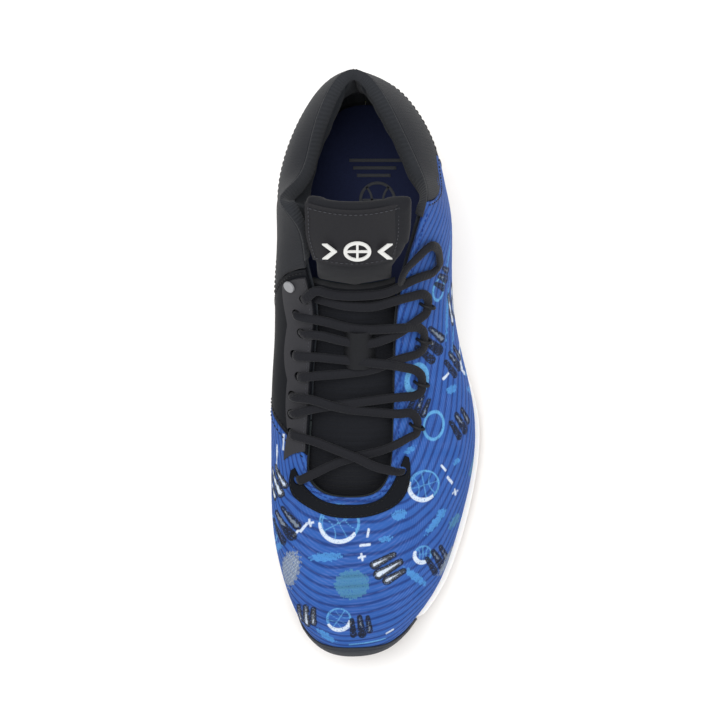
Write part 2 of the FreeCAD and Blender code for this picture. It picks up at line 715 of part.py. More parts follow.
def turn(a, distance, half):
    """The three points of a U turn on the lateral side, round one lace loop."""
    return [on(a - half, distance - 3.5, OVER_BLUE), on(a - half * 0.6, distance + 0.6, OVER_BLUE),
            on(a + half * 0.6, distance + 0.6, OVER_BLUE), on(a + half, distance - 3.5, OVER_BLUE)]


TURN_HALF = 0.25               # half the width of a U turn, in stations
LOOPS = {"U3": (4.97, 12.1), "U2": (5.80, 13.6), "U1": (6.58, 14.9), "U0": (7.25, 15.7)}
half_one = through("ear_lateral", False)
half_one += [place(1.0, -47.0, 71.5), place(-8.5, -42.0, 73.0), place(-18.0, -38.5, 72.5),
             place(-30.0, -33.5, 73.0)]
half_one += through("h7", True) + through("h6", False)
half_one += [place(-30.0, -16.4, 80.0), place(-14.0, -14.3, 80.5), place(1.0, -12.3, 81.5),
             place(11.0, -11.0, 82.0)]
half_one += turn(*LOOPS["U2"], TURN_HALF)
half_one += [place(8.0, 5.6, 93.5), place(-1.0, 6.5, 93.0), place(-15.0, 8.0, 90.0), place(-29.0, 9.5, 91.0)]
half_one += through("h3", True) + through("h2", False)
half_one += [place(-28.0, 20.5, 99.0), place(-15.0, 17.2, 96.0), place(-8.0, 16.0, 95.0),
             place(0.0, 16.2, 95.5),
             place(11.5, 20.5, 99.0)]
half_one += turn(*LOOPS["U0"], TURN_HALF)
half_one += [place(12.0, 37.5, 109.0), place(-1.0, 33.6, 105.5), place(-15.0, 34.6, 105.5),
             place(-24.0, 37.0, 105.5), place(-30.0, 38.8, 103.0), place(-33.4, 37.0, 96.5),
             place(-35.0, 33.5, 88.0), place(-36.0, 29.0, 79.0)]

half_two = through("ear_medial", False)
half_two += [place(-19.4, -45.0, 66.5), place(-8.0, -41.4, 67.8), place(4.8, -38.3, 71.0),
             place(12.0, -35.0, 73.0)]
half_two += turn(*LOOPS["U3"], TURN_HALF)
half_two += [place(12.0, -19.5, 78.5), place(0.6, -18.5, 77.5), place(-12.0, -17.3, 79.5),
             place(-21.5, -15.2, 84.8), place(-31.0, -12.0, 83.5)]
half_two += through("h5", True) + through("h4", False)
half_two += [place(-29.0, 0.0, 88.0), place(-14.5, 1.0, 87.0), place(0.5, 3.2, 87.5), place(11.0, 8.0, 90.5)]
half_two += turn(*LOOPS["U1"], TURN_HALF)
half_two += [place(12.0, 23.6, 103.5), place(-1.0, 22.9, 99.0), place(-8.0, 23.2, 98.5),
             place(-15.0, 24.4, 99.5),
             place(-26.0, 27.5, 102.0)]
half_two += through("h1b", True) + through("h1a", False)
half_two += [place(-28.5, 42.3, 113.5), place(-21.5, 40.0, 110.5), place(-13.0, 39.2, 109.3),
             place(-4.0, 39.5, 109.3), place(6.0, 40.5, 110.5)]
half_two += [on(7.82, 5.0, OVER_BLUE + 0.6), on(7.92, 16.0, OVER_BLUE), on(8.12, 21.5, OVER_BLUE),
             on(8.38, 17.0, OVER_BLUE), on(8.42, 8.0, OVER_BLUE + 1.2), place(15.5, 52.0, 122.0),
             place(13.2, 47.5, 117.0), place(13.6, 44.5, 108.0), place(14.6, 41.5, 98.5),
             place(15.6, 37.5, 89.5)]
middle = [place(-31.0, -65.0, 51.5), place(-20.0, -70.5, 51.0), place(-6.0, -70.5, 51.0),
          place(5.0, -63.0, 52.5)]
lace_points = half_two[::-1] + middle + half_one


def bend_radius(before, corner, after):
    one = before - corner
    two = after - corner
    half_turn = (math.pi - one.getAngle(two)) / 2.0
    return 0.45 * min(one.Length, two.Length) / math.tan(half_turn)


def cord_path(points):
    """Straight runs joined by tangent arcs, each as large as its two runs allow."""
    edges = []
    start = points[0]
    for before, corner, after in zip(points, points[1:], points[2:]):
        one = (before - corner).normalize()
        two = (after - corner).normalize()
        cut = 0.45 * min((before - corner).Length, (after - corner).Length)
        half_turn = (math.pi - one.getAngle(two)) / 2.0
        radius = cut / math.tan(half_turn)
        bisector = (one + two).normalize()
        middle_of_arc = corner + bisector * (math.hypot(radius, cut) - radius)
        edges.append(Part.makeLine(start, corner + one * cut))
        edges.append(Part.Arc(corner + one * cut, middle_of_arc, corner + two * cut).toShape())
        start = corner + two * cut
    edges.append(Part.makeLine(start, points[-1]))
    return Part.Wire(edges)


def tube(points, diameter):
    path = cord_path(points)
    profile = Part.Wire(Part.makeCircle(diameter / 2, points[0], points[1] - points[0]))
    return path.makePipeShell([profile], True, False), path.Length


lace, lace_length = tube(lace_points, LACE_D)
parts["lace"] = lace

AGLET_LENGTH = 18.0
AGLET_R = 1.6
aglets = []
for end, before in ((lace_points[-1], lace_points[-2]), (lace_points[0], lace_points[1])):
    way = (end - before).normalize()
    aglets.append(Part.makeCylinder(AGLET_R, AGLET_LENGTH, end, way))

parts["aglets"] = Part.makeCompound(aglets)

# Thin cord loops on the lateral side; each stands on the textile and holds one U turn of lace.
loops = []
for a, distance in LOOPS.values():
    foot = on(a, distance + 0.6, 0.1)
    normal = upper_normal(a, from_top(a, distance))
    rib_way = (on(a, distance + 2.0, 0.0) - on(a, distance - 2.0, 0.0)).normalize()
    across = normal.cross(rib_way)
    reach = LACE_D / 2 + LOOP_CLEAR + LOOP_WIRE_R
    crown = reach + OVER_BLUE
    half_way = [foot - rib_way * reach, foot - rib_way * reach + normal * OVER_BLUE,
                foot + normal * crown, foot + rib_way * reach + normal * OVER_BLUE, foot + rib_way * reach]
    arc = Part.Arc(half_way[1], half_way[2], half_way[3]).toShape()
    path = Part.Wire([Part.makeLine(half_way[0], half_way[1]), arc, Part.makeLine(half_way[3], half_way[4])])
    profile = Part.Wire(Part.makeCircle(LOOP_WIRE_R, half_way[0], normal))
    loops.append(path.makePipeShell([profile], True, True))
parts["lateral_lace_loops"] = Part.makeCompound(loops)

if __name__ == "__main__":
    os.makedirs("parts", exist_ok=True)
    for name, shape in parts.items():
        if len(shape.Solids) == 1:
            shape = shape.Solids[0]
        if shape.Volume < 0:
            shape.reverse()
        shape.exportStep("parts/" + name + ".step")
        print(name, shape.isValid(), len(shape.Solids), round(shape.Volume))
    print("lace: length %.0f mm, volume over section and length %.3f"
          % (lace_length, lace.Volume / (math.pi * LACE_D ** 2 / 4 * lace_length)))
    radii = [bend_radius(*trio) for trio in zip(lace_points, lace_points[1:], lace_points[2:])]
    print("lace bends, mm:", " ".join("%.1f" % r for r in radii))
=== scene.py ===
import math

import bmesh
import bpy
import numpy as np
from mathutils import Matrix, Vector


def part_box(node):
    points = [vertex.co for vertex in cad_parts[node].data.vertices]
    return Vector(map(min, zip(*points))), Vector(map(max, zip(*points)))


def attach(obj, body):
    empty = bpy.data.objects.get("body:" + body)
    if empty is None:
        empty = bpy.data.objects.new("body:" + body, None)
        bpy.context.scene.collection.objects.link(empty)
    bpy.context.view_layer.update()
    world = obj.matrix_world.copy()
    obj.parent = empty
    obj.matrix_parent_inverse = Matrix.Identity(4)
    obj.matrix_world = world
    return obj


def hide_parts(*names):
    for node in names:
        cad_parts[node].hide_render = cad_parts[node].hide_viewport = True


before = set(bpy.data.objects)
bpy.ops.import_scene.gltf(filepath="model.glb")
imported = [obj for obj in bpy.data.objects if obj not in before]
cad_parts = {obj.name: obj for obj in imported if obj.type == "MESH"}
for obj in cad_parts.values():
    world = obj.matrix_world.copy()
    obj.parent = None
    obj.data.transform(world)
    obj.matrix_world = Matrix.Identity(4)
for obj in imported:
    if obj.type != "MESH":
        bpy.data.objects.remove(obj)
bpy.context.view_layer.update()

MM = 0.001

# ================================================================ camera, floor and lights
# The shoe stands on a plain white sheet under one large soft light and a bright white room,
# and is seen from straight above, toe down.
CAMERA_OVER = (-8.8 * MM, 8.0 * MM, 960.0 * MM)
LENS_MM = 86.85

camera_data = bpy.data.cameras.new("camera")
camera_data.lens = LENS_MM
camera_data.sensor_width = 36.0
camera = bpy.data.objects.new("camera", camera_data)
camera.location = CAMERA_OVER
bpy.context.collection.objects.link(camera)
scene = bpy.context.scene
scene.camera = camera
scene.view_settings.view_transform = "Standard"


def linear(colour):
    """An sRGB hex colour as the linear colour that the shaders want."""
    parts = [int(colour[i:i + 2], 16) / 255.0 for i in (1, 3, 5)]
    return tuple(c / 12.92 if c <= 0.04045 else ((c + 0.055) / 1.055) ** 2.4 for c in parts) + (1.0,)


def add(tree, kind, links=None, **settings):
    """Add one shader node, set its fields or sockets, and link its inputs."""
    node = tree.nodes.new("ShaderNode" + kind)
    for key, value in settings.items():
        if hasattr(node, key):
            setattr(node, key, value)
        else:
            node.inputs[key.replace("_", " ")].default_value = value
    for socket, source in (links or {}).items():
        tree.links.new(source, node.inputs[socket])
    return node


def new_finish(name, colour, roughness, **shader):
    """A named finish: its node tree and its main shader, with the constants set on the shader."""
    material = bpy.data.materials.new(name)
    material.use_nodes = True
    tree = material.node_tree
    surface = tree.nodes["Principled BSDF"]
    surface.inputs["Base Color"].default_value = linear(colour)
    surface.inputs["Roughness"].default_value = roughness
    surface.inputs["Specular IOR Level"].default_value = 0.5 if roughness < 0.5 else 0.22
    for key, value in shader.items():
        surface.inputs[key.replace("_", " ")].default_value = value
    return material, tree, surface


def bump(tree, surface, height, distance, strength=1.0):
    """Feed one height signal to a shader's normal."""
    relief = add(tree, "Bump", {"Height": height}, Distance=distance, Strength=strength)
    tree.links.new(relief.outputs["Normal"], surface.inputs["Normal"])
    return relief


def shade(tree, surface, factor, dark, light, socket="Base Color"):
    """Blend two colours by one signal into a shader's socket."""
    blend = add(tree, "Mix", {"Factor": factor}, data_type="RGBA")
    blend.inputs[6].default_value = linear(dark)
    blend.inputs[7].default_value = linear(light)
    tree.links.new(blend.outputs[2], surface.inputs[socket])
    return blend


# White paper sweep: slightly warm, with almost no sheen of its own.
paper, paper_tree, paper_surface = new_finish("paper_sweep", "#F6F5F4", 0.9)
paper_grain = add(paper_tree, "TexNoise", Scale=900.0, Detail=2.0)
bump(paper_tree, paper_surface, paper_grain.outputs["Fac"], 0.0001, 0.1)
FLOOR_HALF = 2.5
floor_mesh = bpy.data.meshes.new("floor")
floor_mesh.from_pydata([(-FLOOR_HALF, -FLOOR_HALF, 0), (FLOOR_HALF, -FLOOR_HALF, 0),
                        (FLOOR_HALF, FLOOR_HALF, 0), (-FLOOR_HALF, FLOOR_HALF, 0)], [], [(0, 1, 2, 3)])
floor = bpy.data.objects.new("floor", floor_mesh)
floor.data.materials.append(paper)
bpy.context.collection.objects.link(floor)

room = bpy.data.worlds.new("white_room")
room.use_nodes = True
room.node_tree.nodes["Background"].inputs["Color"].default_value = linear("#FFFFFF")
room.node_tree.nodes["Background"].inputs["Strength"].default_value = 0.62
scene.world = room

LAMPS = (("key", (-0.25, 0.25, 1.4), 0.9, 15.0), ("fill", (0.8, -0.5, 1.0), 1.0, 4.5))
for lamp_name, lamp_at, lamp_size, lamp_power in LAMPS:
    lamp_data = bpy.data.lights.new(lamp_name, "AREA")
    lamp_data.size = lamp_size
    lamp_data.energy = lamp_power
    lamp = bpy.data.objects.new(lamp_name, lamp_data)
    lamp.location = lamp_at
    lamp.rotation_euler = (-Vector(lamp_at)).to_track_quat("-Z", "Y").to_euler()
    bpy.context.collection.objects.link(lamp)

# ================================================================ the last
# The wooden form that the upper is pulled over. Every upper panel lies on it, so its stations are
# given once here: sole edge x, y; inset of the feather edge; top edge x, y, z; then the rib's
# handles, outward and up from the feather edge, and outward and down from the top edge.
STATIONS = np.array((
    (-9.0, -151.5, 3.0, -13.0, -63.5, 60.0, 1.0, 22.0, 42.0, 8.0),
    (9.0, -147.0, 3.0, -5.5, -63.2, 60.0, 2.0, 21.0, 40.0, 8.0),
    (24.5, -132.5, 3.5, 1.5, -61.0, 60.3, 4.0, 20.0, 38.0, 8.0),
    (38.5, -112.5, 5.0, 6.5, -55.5, 62.0, 7.0, 20.0, 34.0, 8.0),
    (49.0, -84.0, 7.0, 9.5, -44.0, 65.5, 11.0, 19.0, 32.0, 8.0),
    (56.0, -52.0, 7.0, 10.4, -22.0, 73.5, 12.0, 20.0, 34.0, 10.0),
    (56.5, -20.0, 7.0, 11.0, 2.0, 84.5, 12.0, 24.0, 30.0, 11.0),
    (47.0, 12.0, 5.0, 12.0, 28.0, 99.0, 10.0, 30.0, 27.0, 12.0),
    (40.0, 40.0, 3.0, 16.5, 54.0, 118.0, 10.0, 38.0, 20.0, 16.0),
    (38.0, 66.0, 3.0, 24.0, 80.0, 140.5, 8.0, 44.0, 17.0, 26.0),
    (37.5, 92.0, 3.0, 23.5, 98.0, 119.5, 5.0, 44.0, 14.0, 20.0),
    (33.0, 118.0, 3.0, 13.0, 120.5, 122.0, 4.0, 44.0, 15.0, 20.0),
    (18.0, 143.0, 3.0, 1.5, 139.5, 130.0, 4.0, 44.0, 9.0, 24.0),
    (-4.0, 152.0, 3.0, -9.5, 146.5, 132.5, 4.0, 42.0, 3.0, 26.0),
    (-27.0, 143.5, 3.0, -20.5, 140.0, 130.0, 4.0, 44.0, 9.0, 24.0),
    (-42.0, 118.0, 3.0, -30.0, 119.0, 121.5, 4.0, 44.0, 15.0, 20.0),
    (-46.0, 92.0, 3.0, -36.5, 98.0, 119.5, 6.0, 44.0, 16.0, 20.0),
    (-46.0, 68.0, 3.0, -45.0, 84.0, 139.0, 5.0, 44.0, 5.0, 26.0),
    (-45.0, 48.0, 3.0, -36.5, 70.0, 140.5, 8.0, 42.0, 17.0, 22.0),
    (-45.0, 30.0, 2.5, -33.5, 52.0, 119.0, 12.0, 36.0, 20.0, 16.0),
    (-46.5, 8.0, 2.5, -29.5, 33.0, 102.5, 14.0, 29.0, 22.0, 11.0),
    (-49.0, -16.0, 2.5, -31.0, 10.0, 88.5, 13.0, 24.0, 22.0, 10.0),
    (-51.0, -40.0, 2.5, -32.5, -13.0, 77.0, 11.0, 20.0, 20.0, 9.0),
    (-51.5, -64.0, 2.5, -34.0, -34.0, 69.0, 10.0, 19.0, 19.0, 8.0),
    (-50.5, -90.0, 2.5, -34.5, -50.0, 63.5, 9.0, 18.0, 20.0, 7.0),
    (-46.5, -115.0, 3.0, -31.5, -57.5, 61.0, 6.0, 19.0, 27.0, 8.0),
    (-38.0, -137.0, 3.0, -26.0, -61.3, 60.0, 3.0, 20.0, 37.0, 8.0),
    (-25.0, -149.0, 3.0, -19.5, -63.0, 60.0, 2.0, 21.0, 41.0, 8.0),
))
COUNT = len(STATIONS)
BOX_MIDDLE_X = 1.8
HEEL = 13.0
SOLE_STACK = 22.5
HEEL_LIFT = 8.0
TOE_SPRING = 9.0
HEEL_BEVEL = 2.5


def ease(s):
    s = np.clip(s, 0.0, 1.0)
    return s * s * (3.0 - 2.0 * s)


def ground_line(y):
    toe = TOE_SPRING * (np.maximum(-85.0 - y, 0.0) / 68.0) ** 2
    return toe + HEEL_BEVEL * (np.maximum(y - 128.0, 0.0) / 24.0) ** 2


def footbed_line(y):
    toe_curl = TOE_SPRING * 0.75 * (np.maximum(-90.0 - y, 0.0) / 62.0) ** 2
    return SOLE_STACK + HEEL_LIFT * ease((y + 60.0) / 150.0) + toe_curl


def ring(values):
    """Control values of the smooth closed curve through one value a station."""
    control = values.copy()
    for _ in range(30):
        control = control + values - (np.roll(control, 1, 0) + 4 * control + np.roll(control, -1, 0)) / 6
    return control


def on_ring(control, a):
    a = np.asarray(a, float)
    i = np.floor(a).astype(int)
    f = a - i
    weights = ((1 - f) ** 3, 3 * f ** 3 - 6 * f * f + 4, -3 * f ** 3 + 3 * f * f + 3 * f + 1, f ** 3)
    total = 0.0
    for k, weight in enumerate(weights):
        values = control[(i - 1 + k) % COUNT]
        total = total + (weight[..., None] if values.ndim > weight.ndim else weight) * values
    return total / 6.0


edge_control = ring(np.column_stack((STATIONS[:, 0] - BOX_MIDDLE_X, STATIONS[:, 1], 0 * STATIONS[:, 0])))


def sole_edge(a):
    return on_ring(edge_control, a)


def unit(v):
    return v / np.maximum(np.linalg.norm(v, axis=-1, keepdims=True), 1e-9)


def outward(a):
    along = sole_edge(np.asarray(a) + 0.02) - sole_edge(np.asarray(a) - 0.02)
    return unit(np.stack((along[..., 1], -along[..., 0], 0 * along[..., 0]), -1))


def build_rails():
    a = np.arange(COUNT)
    normal = outward(a)
    feather = sole_edge(a) - normal * STATIONS[:, 2:3]
    feather[:, 2] = footbed_line(feather[:, 1]) + 0.3
    top = STATIONS[:, 3:6] - (BOX_MIDDLE_X, 0.0, 0.0)
    up = np.array((0.0, 0.0, 1.0))
    low = feather + normal * STATIONS[:, 6:7] + up * STATIONS[:, 7:8]
    high = top + normal * STATIONS[:, 8:9] - up * STATIONS[:, 9:10]
    return [ring(points) for points in (feather, low, high, top)]


RAILS = build_rails()


def upper(a, t):
    t = np.asarray(t, float)[..., None]
    u = 1.0 - t
    weights = (u ** 3, 3 * u * u * t, 3 * u * t * t, t ** 3)
    return sum(on_ring(rail, a) * weight for rail, weight in zip(RAILS, weights))


def upper_normal(a, t):
    a = np.asarray(a, float)
    t = np.asarray(t, float)
    round_way = upper(a + 0.01, t) - upper(a - 0.01, t)
    up_way = upper(a, np.minimum(t + 0.01, 1.0)) - upper(a, np.maximum(t - 0.01, 0.0))
    return unit(np.cross(round_way, up_way))


def skin(a, t, depth):
    """A point of the last's surface, in mm, moved out (positive) or in along its normal."""
    return upper(a, t) + upper_normal(a, t) * np.asarray(depth, float)[..., None]


def from_top(a, distance):
    """Rib fraction that lies this many mm below the top edge."""
    reach = np.linalg.norm(on_ring(RAILS[3], a) - on_ring(RAILS[2], a), axis=-1)
    return 1.0 - distance / (3.0 * reach)


def linked(mesh, material, name):
    mesh.name = name
    piece = bpy.data.objects.new(name, mesh)
    if not mesh.materials:
        mesh.materials.append(material)
    bpy.context.collection.objects.link(piece)
    return piece


def loop_mesh(name, rings, material, fields=None):
    """A closed tube-like mesh from rings of points in mm, with a UV map that runs in metres."""
    rings = np.asarray(rings, float)
    count, size = rings.shape[:2]
    index = np.arange(count * size).reshape(count, size)
    after = np.roll(index, -1, 1)
    quads = np.stack((index[:-1], after[:-1], after[1:], index[1:]), -1).reshape(-1, 4)
    faces = quads.tolist() + [index[0][::-1].tolist(), index[-1].tolist()]
    mesh = bpy.data.meshes.new(name)
    mesh.from_pydata((rings.reshape(-1, 3) * MM).tolist(), [], faces)
    along = np.concatenate(([0.0], np.cumsum(np.linalg.norm(np.diff(rings.mean(1), axis=0), axis=-1))))
    step = np.linalg.norm(np.roll(rings, -1, 1) - rings, axis=-1)
    around = np.concatenate((np.zeros((count, 1)), np.cumsum(step, 1)), 1)
    u = np.repeat(along[:, None], size + 1, 1)
    corners_u = np.stack((u[:-1, :-1], u[:-1, 1:], u[1:, 1:], u[1:, :-1]), -1).reshape(-1)
    corners_v = np.stack((around[:-1, :-1], around[:-1, 1:], around[1:, 1:], around[1:, :-1]), -1).reshape(-1)
    uv = np.zeros((len(mesh.loops), 2))
    uv[:len(corners_u), 0] = corners_u
    uv[:len(corners_v), 1] = corners_v
    layer = mesh.uv_layers.new(name="surface")
    layer.data.foreach_set("uv", (uv * MM).ravel())
    for field, values in (fields or {}).items():
        mesh.attributes.new(field, "FLOAT", "POINT").data.foreach_set("value", np.ravel(values))
    mesh.shade_smooth()
    mesh.update()
    return linked(mesh, material, name)


def turned_out(piece):
    """Point every face outwards."""
    work = bmesh.new()
    work.from_mesh(piece.data)
    bmesh.ops.recalc_face_normals(work, faces=work.faces)
    work.to_mesh(piece.data)
    work.free()
    return piece


def panel(name, region, outer, inner, across, up, material, inner_up=10, edge=0.25, fields=None):
    """A panel of the upper: a dense outer skin, a plain inner one and rounded cut edges."""
    s = np.linspace(0.0, 1.0, across)[:, None]
    r_out = np.linspace(0.0, 1.0, up)
    r_in = np.linspace(1.0, 0.0, inner_up)
    a_out, t_out = region(s, r_out[None, :])
    a_in, t_in = region(s, r_in[None, :])
    depth_out = outer(a_out, t_out) if callable(outer) else outer + 0 * a_out * t_out
    depth_in = inner(a_in, t_in) if callable(inner) else inner + 0 * a_in * t_in
    depth_out = np.broadcast_to(depth_out, (across, up)).copy()
    a_out, t_out = np.broadcast_arrays(a_out + 0 * t_out, t_out + 0 * a_out)
    a_in, t_in = np.broadcast_arrays(a_in + 0 * t_in, t_in + 0 * a_in)
    lip = np.minimum(1.0, np.minimum(np.arange(up), np.arange(up)[::-1])[None, :])
    ends = np.minimum(1.0, np.minimum(np.arange(across), np.arange(across)[::-1])[:, None])
    depth_out -= edge * (1.0 - np.minimum(lip, ends))
    rings = np.concatenate((skin(a_out, t_out, depth_out), skin(a_in, t_in, depth_in)), 1)
    values = {}
    for field, formula in (fields or {}).items():
        dense = formula(rings[:, :up], a_out, t_out)
        values[field] = np.concatenate((dense, np.full((across, inner_up), dense.min())), 1)
    return turned_out(loop_mesh(name, rings, material, fields=values))


def patch(a0, a1, t0, t1):
    """A plain region; each limit may be a function of the other way."""
    def region(s, r):
        left = a0(r) if callable(a0) else a0
        right = a1(r) if callable(a1) else a1
        a = left + (right - left) * s
        low = t0(a) if callable(t0) else t0
        high = t1(a) if callable(t1) else t1
        return a, low + (high - low) * r
    return region


def spline(points, samples):
    """Points of the smooth curve through the given ones, spaced by chord length, and its tangents."""
    points = np.asarray(points, float)
    knots = np.concatenate(([0.0], np.cumsum(np.linalg.norm(np.diff(points, axis=0), axis=1))))
    n = len(points)
    h = np.diff(knots)
    system = np.eye(n)
    right = np.zeros_like(points)
    for i in range(1, n - 1):
        system[i, i - 1:i + 2] = (h[i - 1], 2 * (h[i - 1] + h[i]), h[i])
        right[i] = 6 * ((points[i + 1] - points[i]) / h[i] - (points[i] - points[i - 1]) / h[i - 1])
    bend = np.linalg.solve(system, right)
    x = np.asarray(samples) * knots[-1]
    i = np.clip(np.searchsorted(knots, x) - 1, 0, n - 2)
    one, two = (knots[i + 1] - x)[:, None], (x - knots[i])[:, None]
    hi = h[i][:, None]
    value = (bend[i] * one ** 3 + bend[i + 1] * two ** 3) / (6 * hi)
    value += (points[i] / hi - bend[i] * hi / 6) * one + (points[i + 1] / hi - bend[i + 1] * hi / 6) * two
    slope = (-bend[i] * one ** 2 + bend[i + 1] * two ** 2) / (2 * hi)
    slope += (points[i + 1] - points[i]) / hi - (bend[i + 1] - bend[i]) * hi / 6
    return value, unit(slope)


def weave(tree, surface, pitch, depth):
    """Over-and-under threads as relief, from the piece's own surface map in metres."""
    where = add(tree, "UVMap", uv_map="surface")
    warp = add(tree, "TexWave", {"Vector": where.outputs["UV"]}, Scale=0.314 / (pitch * MM), Distortion=0.4)
    weft = add(tree, "TexWave", {"Vector": where.outputs["UV"]}, Scale=0.314 / (pitch * MM), Distortion=0.4)
    weft.bands_direction = "Y"
    threads = add(tree, "Math", {0: warp.outputs["Fac"], 1: weft.outputs["Fac"]}, operation="MULTIPLY")
    bump(tree, surface, threads.outputs[0], depth * MM, 0.6)


def woven(name, colour, roughness, pitch, depth, **shader):
    """A woven finish with a faint sheen; the pitch and depth of its threads are in mm."""
    material, tree, surface = new_finish(name, colour, roughness, Sheen_Weight=0.06, **shader)
    weave(tree, surface, pitch, depth)
    return material


def grained(name, colour, roughness, scale, depth, dark, light, **shader):
    """A finish with fine moulded or cut grain, as relief and as a faint change of colour."""
    material, tree, surface = new_finish(name, colour, roughness, **shader)
    where = add(tree, "TexCoord")
    grain = add(tree, "TexNoise", {"Vector": where.outputs["Object"]}, Scale=scale, Detail=6.0, Roughness=0.6)
    bump(tree, surface, grain.outputs["Fac"], depth * MM, 0.5)
    shade(tree, surface, grain.outputs["Fac"], dark, light)
    return material


def bonded_thread(name, colour):
    """A sewing thread with a fine twist."""
    material, tree, surface = new_finish(name, colour, 0.5)
    where = add(tree, "TexCoord")
    twist = add(tree, "TexNoise", {"Vector": where.outputs["Object"]}, Scale=3000.0)
    bump(tree, surface, twist.outputs["Fac"], 0.05 * MM, 0.4)
    return material


def repaint(node, material):
    """Give a CAD node a detailed finish; its shape stays as it is."""
    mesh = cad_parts[node].data
    mesh.materials.clear()
    mesh.materials.append(material)


def stitch_group():
    """Node group that lays one thread at every point, along and out as the point says."""
    group = bpy.data.node_groups.new("stitch_row", "GeometryNodeTree")
    group.interface.new_socket("Geometry", in_out="INPUT", socket_type="NodeSocketGeometry")
    for label, value in (("Thread length", 2.2 * MM), ("Thread width", 0.7 * MM)):
        group.interface.new_socket(label, in_out="INPUT", socket_type="NodeSocketFloat").default_value = value
    group.interface.new_socket("Thread", in_out="INPUT", socket_type="NodeSocketMaterial")
    group.interface.new_socket("Geometry", in_out="OUTPUT", socket_type="NodeSocketGeometry")
    make, link = group.nodes.new, group.links.new
    inputs, outputs = make("NodeGroupInput"), make("NodeGroupOutput")
    bead = make("GeometryNodeMeshUVSphere")
    bead.inputs["Segments"].default_value = 8
    bead.inputs["Rings"].default_value = 5
    bead.inputs["Radius"].default_value = 0.5
    size = make("ShaderNodeCombineXYZ")
    link(inputs.outputs["Thread length"], size.inputs["X"])
    link(inputs.outputs["Thread width"], size.inputs["Y"])
    link(inputs.outputs["Thread width"], size.inputs["Z"])
    axes = make("FunctionNodeAxesToRotation")
    axes.primary_axis = "X"
    axes.secondary_axis = "Z"
    for label, socket in (("along", 0), ("out", 1)):
        named = make("GeometryNodeInputNamedAttribute")
        named.data_type = "FLOAT_VECTOR"
        named.inputs["Name"].default_value = label
        link(named.outputs["Attribute"], axes.inputs[socket])
    lay = make("GeometryNodeInstanceOnPoints")
    link(inputs.outputs["Geometry"], lay.inputs["Points"])
    link(bead.outputs["Mesh"], lay.inputs["Instance"])
    link(axes.outputs[0], lay.inputs["Rotation"])
    link(size.outputs[0], lay.inputs["Scale"])
    real = make("GeometryNodeRealizeInstances")
    link(lay.outputs["Instances"], real.inputs["Geometry"])
    cover = make("GeometryNodeSetMaterial")
    link(real.outputs["Geometry"], cover.inputs["Geometry"])
    link(inputs.outputs["Thread"], cover.inputs["Material"])
    link(cover.outputs["Geometry"], outputs.inputs["Geometry"])
    return group


STITCH = stitch_group()


def stitched(name, rows, thread, length, width, gap, body, slot):
    """Rows of thread along lines on a surface. Each row is points and outward directions, in mm."""
    spots, alongs, outs = [], [], []
    for points, normals in rows:
        run = np.concatenate(([0.0], np.cumsum(np.linalg.norm(np.diff(points, axis=0), axis=1))))
        at = np.arange(length / 2, run[-1], length + gap)
        spot = np.column_stack([np.interp(at, run, points[:, k]) for k in range(3)])
        ahead = np.column_stack([np.interp(at + 0.3, run, points[:, k]) for k in range(3)])
        out = np.column_stack([np.interp(at, run, normals[:, k]) for k in range(3)])
        spots.append(spot)
        alongs.append(unit(ahead - spot))
        outs.append(unit(out))
    spots, alongs, outs = (np.concatenate(x) for x in (spots, alongs, outs))
    mesh = bpy.data.meshes.new(name + "_points")
    mesh.from_pydata((spots * MM).tolist(), [], [])
    for label, values in (("along", alongs), ("out", outs)):
        mesh.attributes.new(label, "FLOAT_VECTOR", "POINT").data.foreach_set("vector", values.ravel())
    guide = bpy.data.objects.new(name + "_points", mesh)
    bpy.context.collection.objects.link(guide)
    layer = guide.modifiers.new("stitches", "NODES")
    layer.node_group = STITCH
    values = {"Thread length": length * MM, "Thread width": width * MM, "Thread": thread}
    for item in STITCH.interface.items_tree:
        if item.in_out == "INPUT" and item.name in values:
            layer[item.identifier] = values[item.name]
    shown = guide.evaluated_get(bpy.context.evaluated_depsgraph_get())
    real = bpy.data.meshes.new_from_object(shown)
    guide.modifiers.remove(layer)
    bpy.data.objects.remove(guide)
    real.shade_smooth()
    piece = linked(real, thread, name)
    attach(piece, body)
    return piece


def row_on_upper(a, t, depth):
    """A stitch row on the upper, with its outward directions."""
    a, t = np.broadcast_arrays(np.asarray(a, float), np.asarray(t, float))
    return skin(a, t, depth + 0 * a), upper_normal(a, t)


SHOE = "shoe"
TONGUE_TOP = "tongue_top"
SOCKLINER = "sockliner"
SEAM_STEP = 0.02
SEAM_RISE = 0.004
WING = 9.15
MEDIAL_WING = 19.0
KNIT_LOW = 0.5
TEXTILE = 1.5

# ================================================================ outsole pads
# Two gum rubber pads with moulded herringbone channels. Their shape is the CAD's; the rubber has
# a fine moulded grain and slightly uneven colour.
gum = grained("gum_rubber_moulded", "#A08878", 0.62, 700.0, 0.12, "#8E7666", "#AC9484")
repaint("outsole_forefoot", gum)
repaint("outsole_heel", gum)

# ================================================================ midsole
# One block of moulded white foam. The sidewall has a shallow waist, two run-round grooves and a
# fine moulded texture; it is a closed mesh over the same plan and heights as the CAD block.
MIDSOLE_ROUND = 420
MIDSOLE_UP = 34
BUMPER_MEDIAL = -2.35
BUMPER_LATERAL = 2.0
BUMPER_STEP = 0.25
foam = grained("midsole_foam_moulded", "#FBFAF8", 0.55, 900.0, 0.1, "#F6F4F1", "#FEFDFB",
               Subsurface_Weight=0.08)


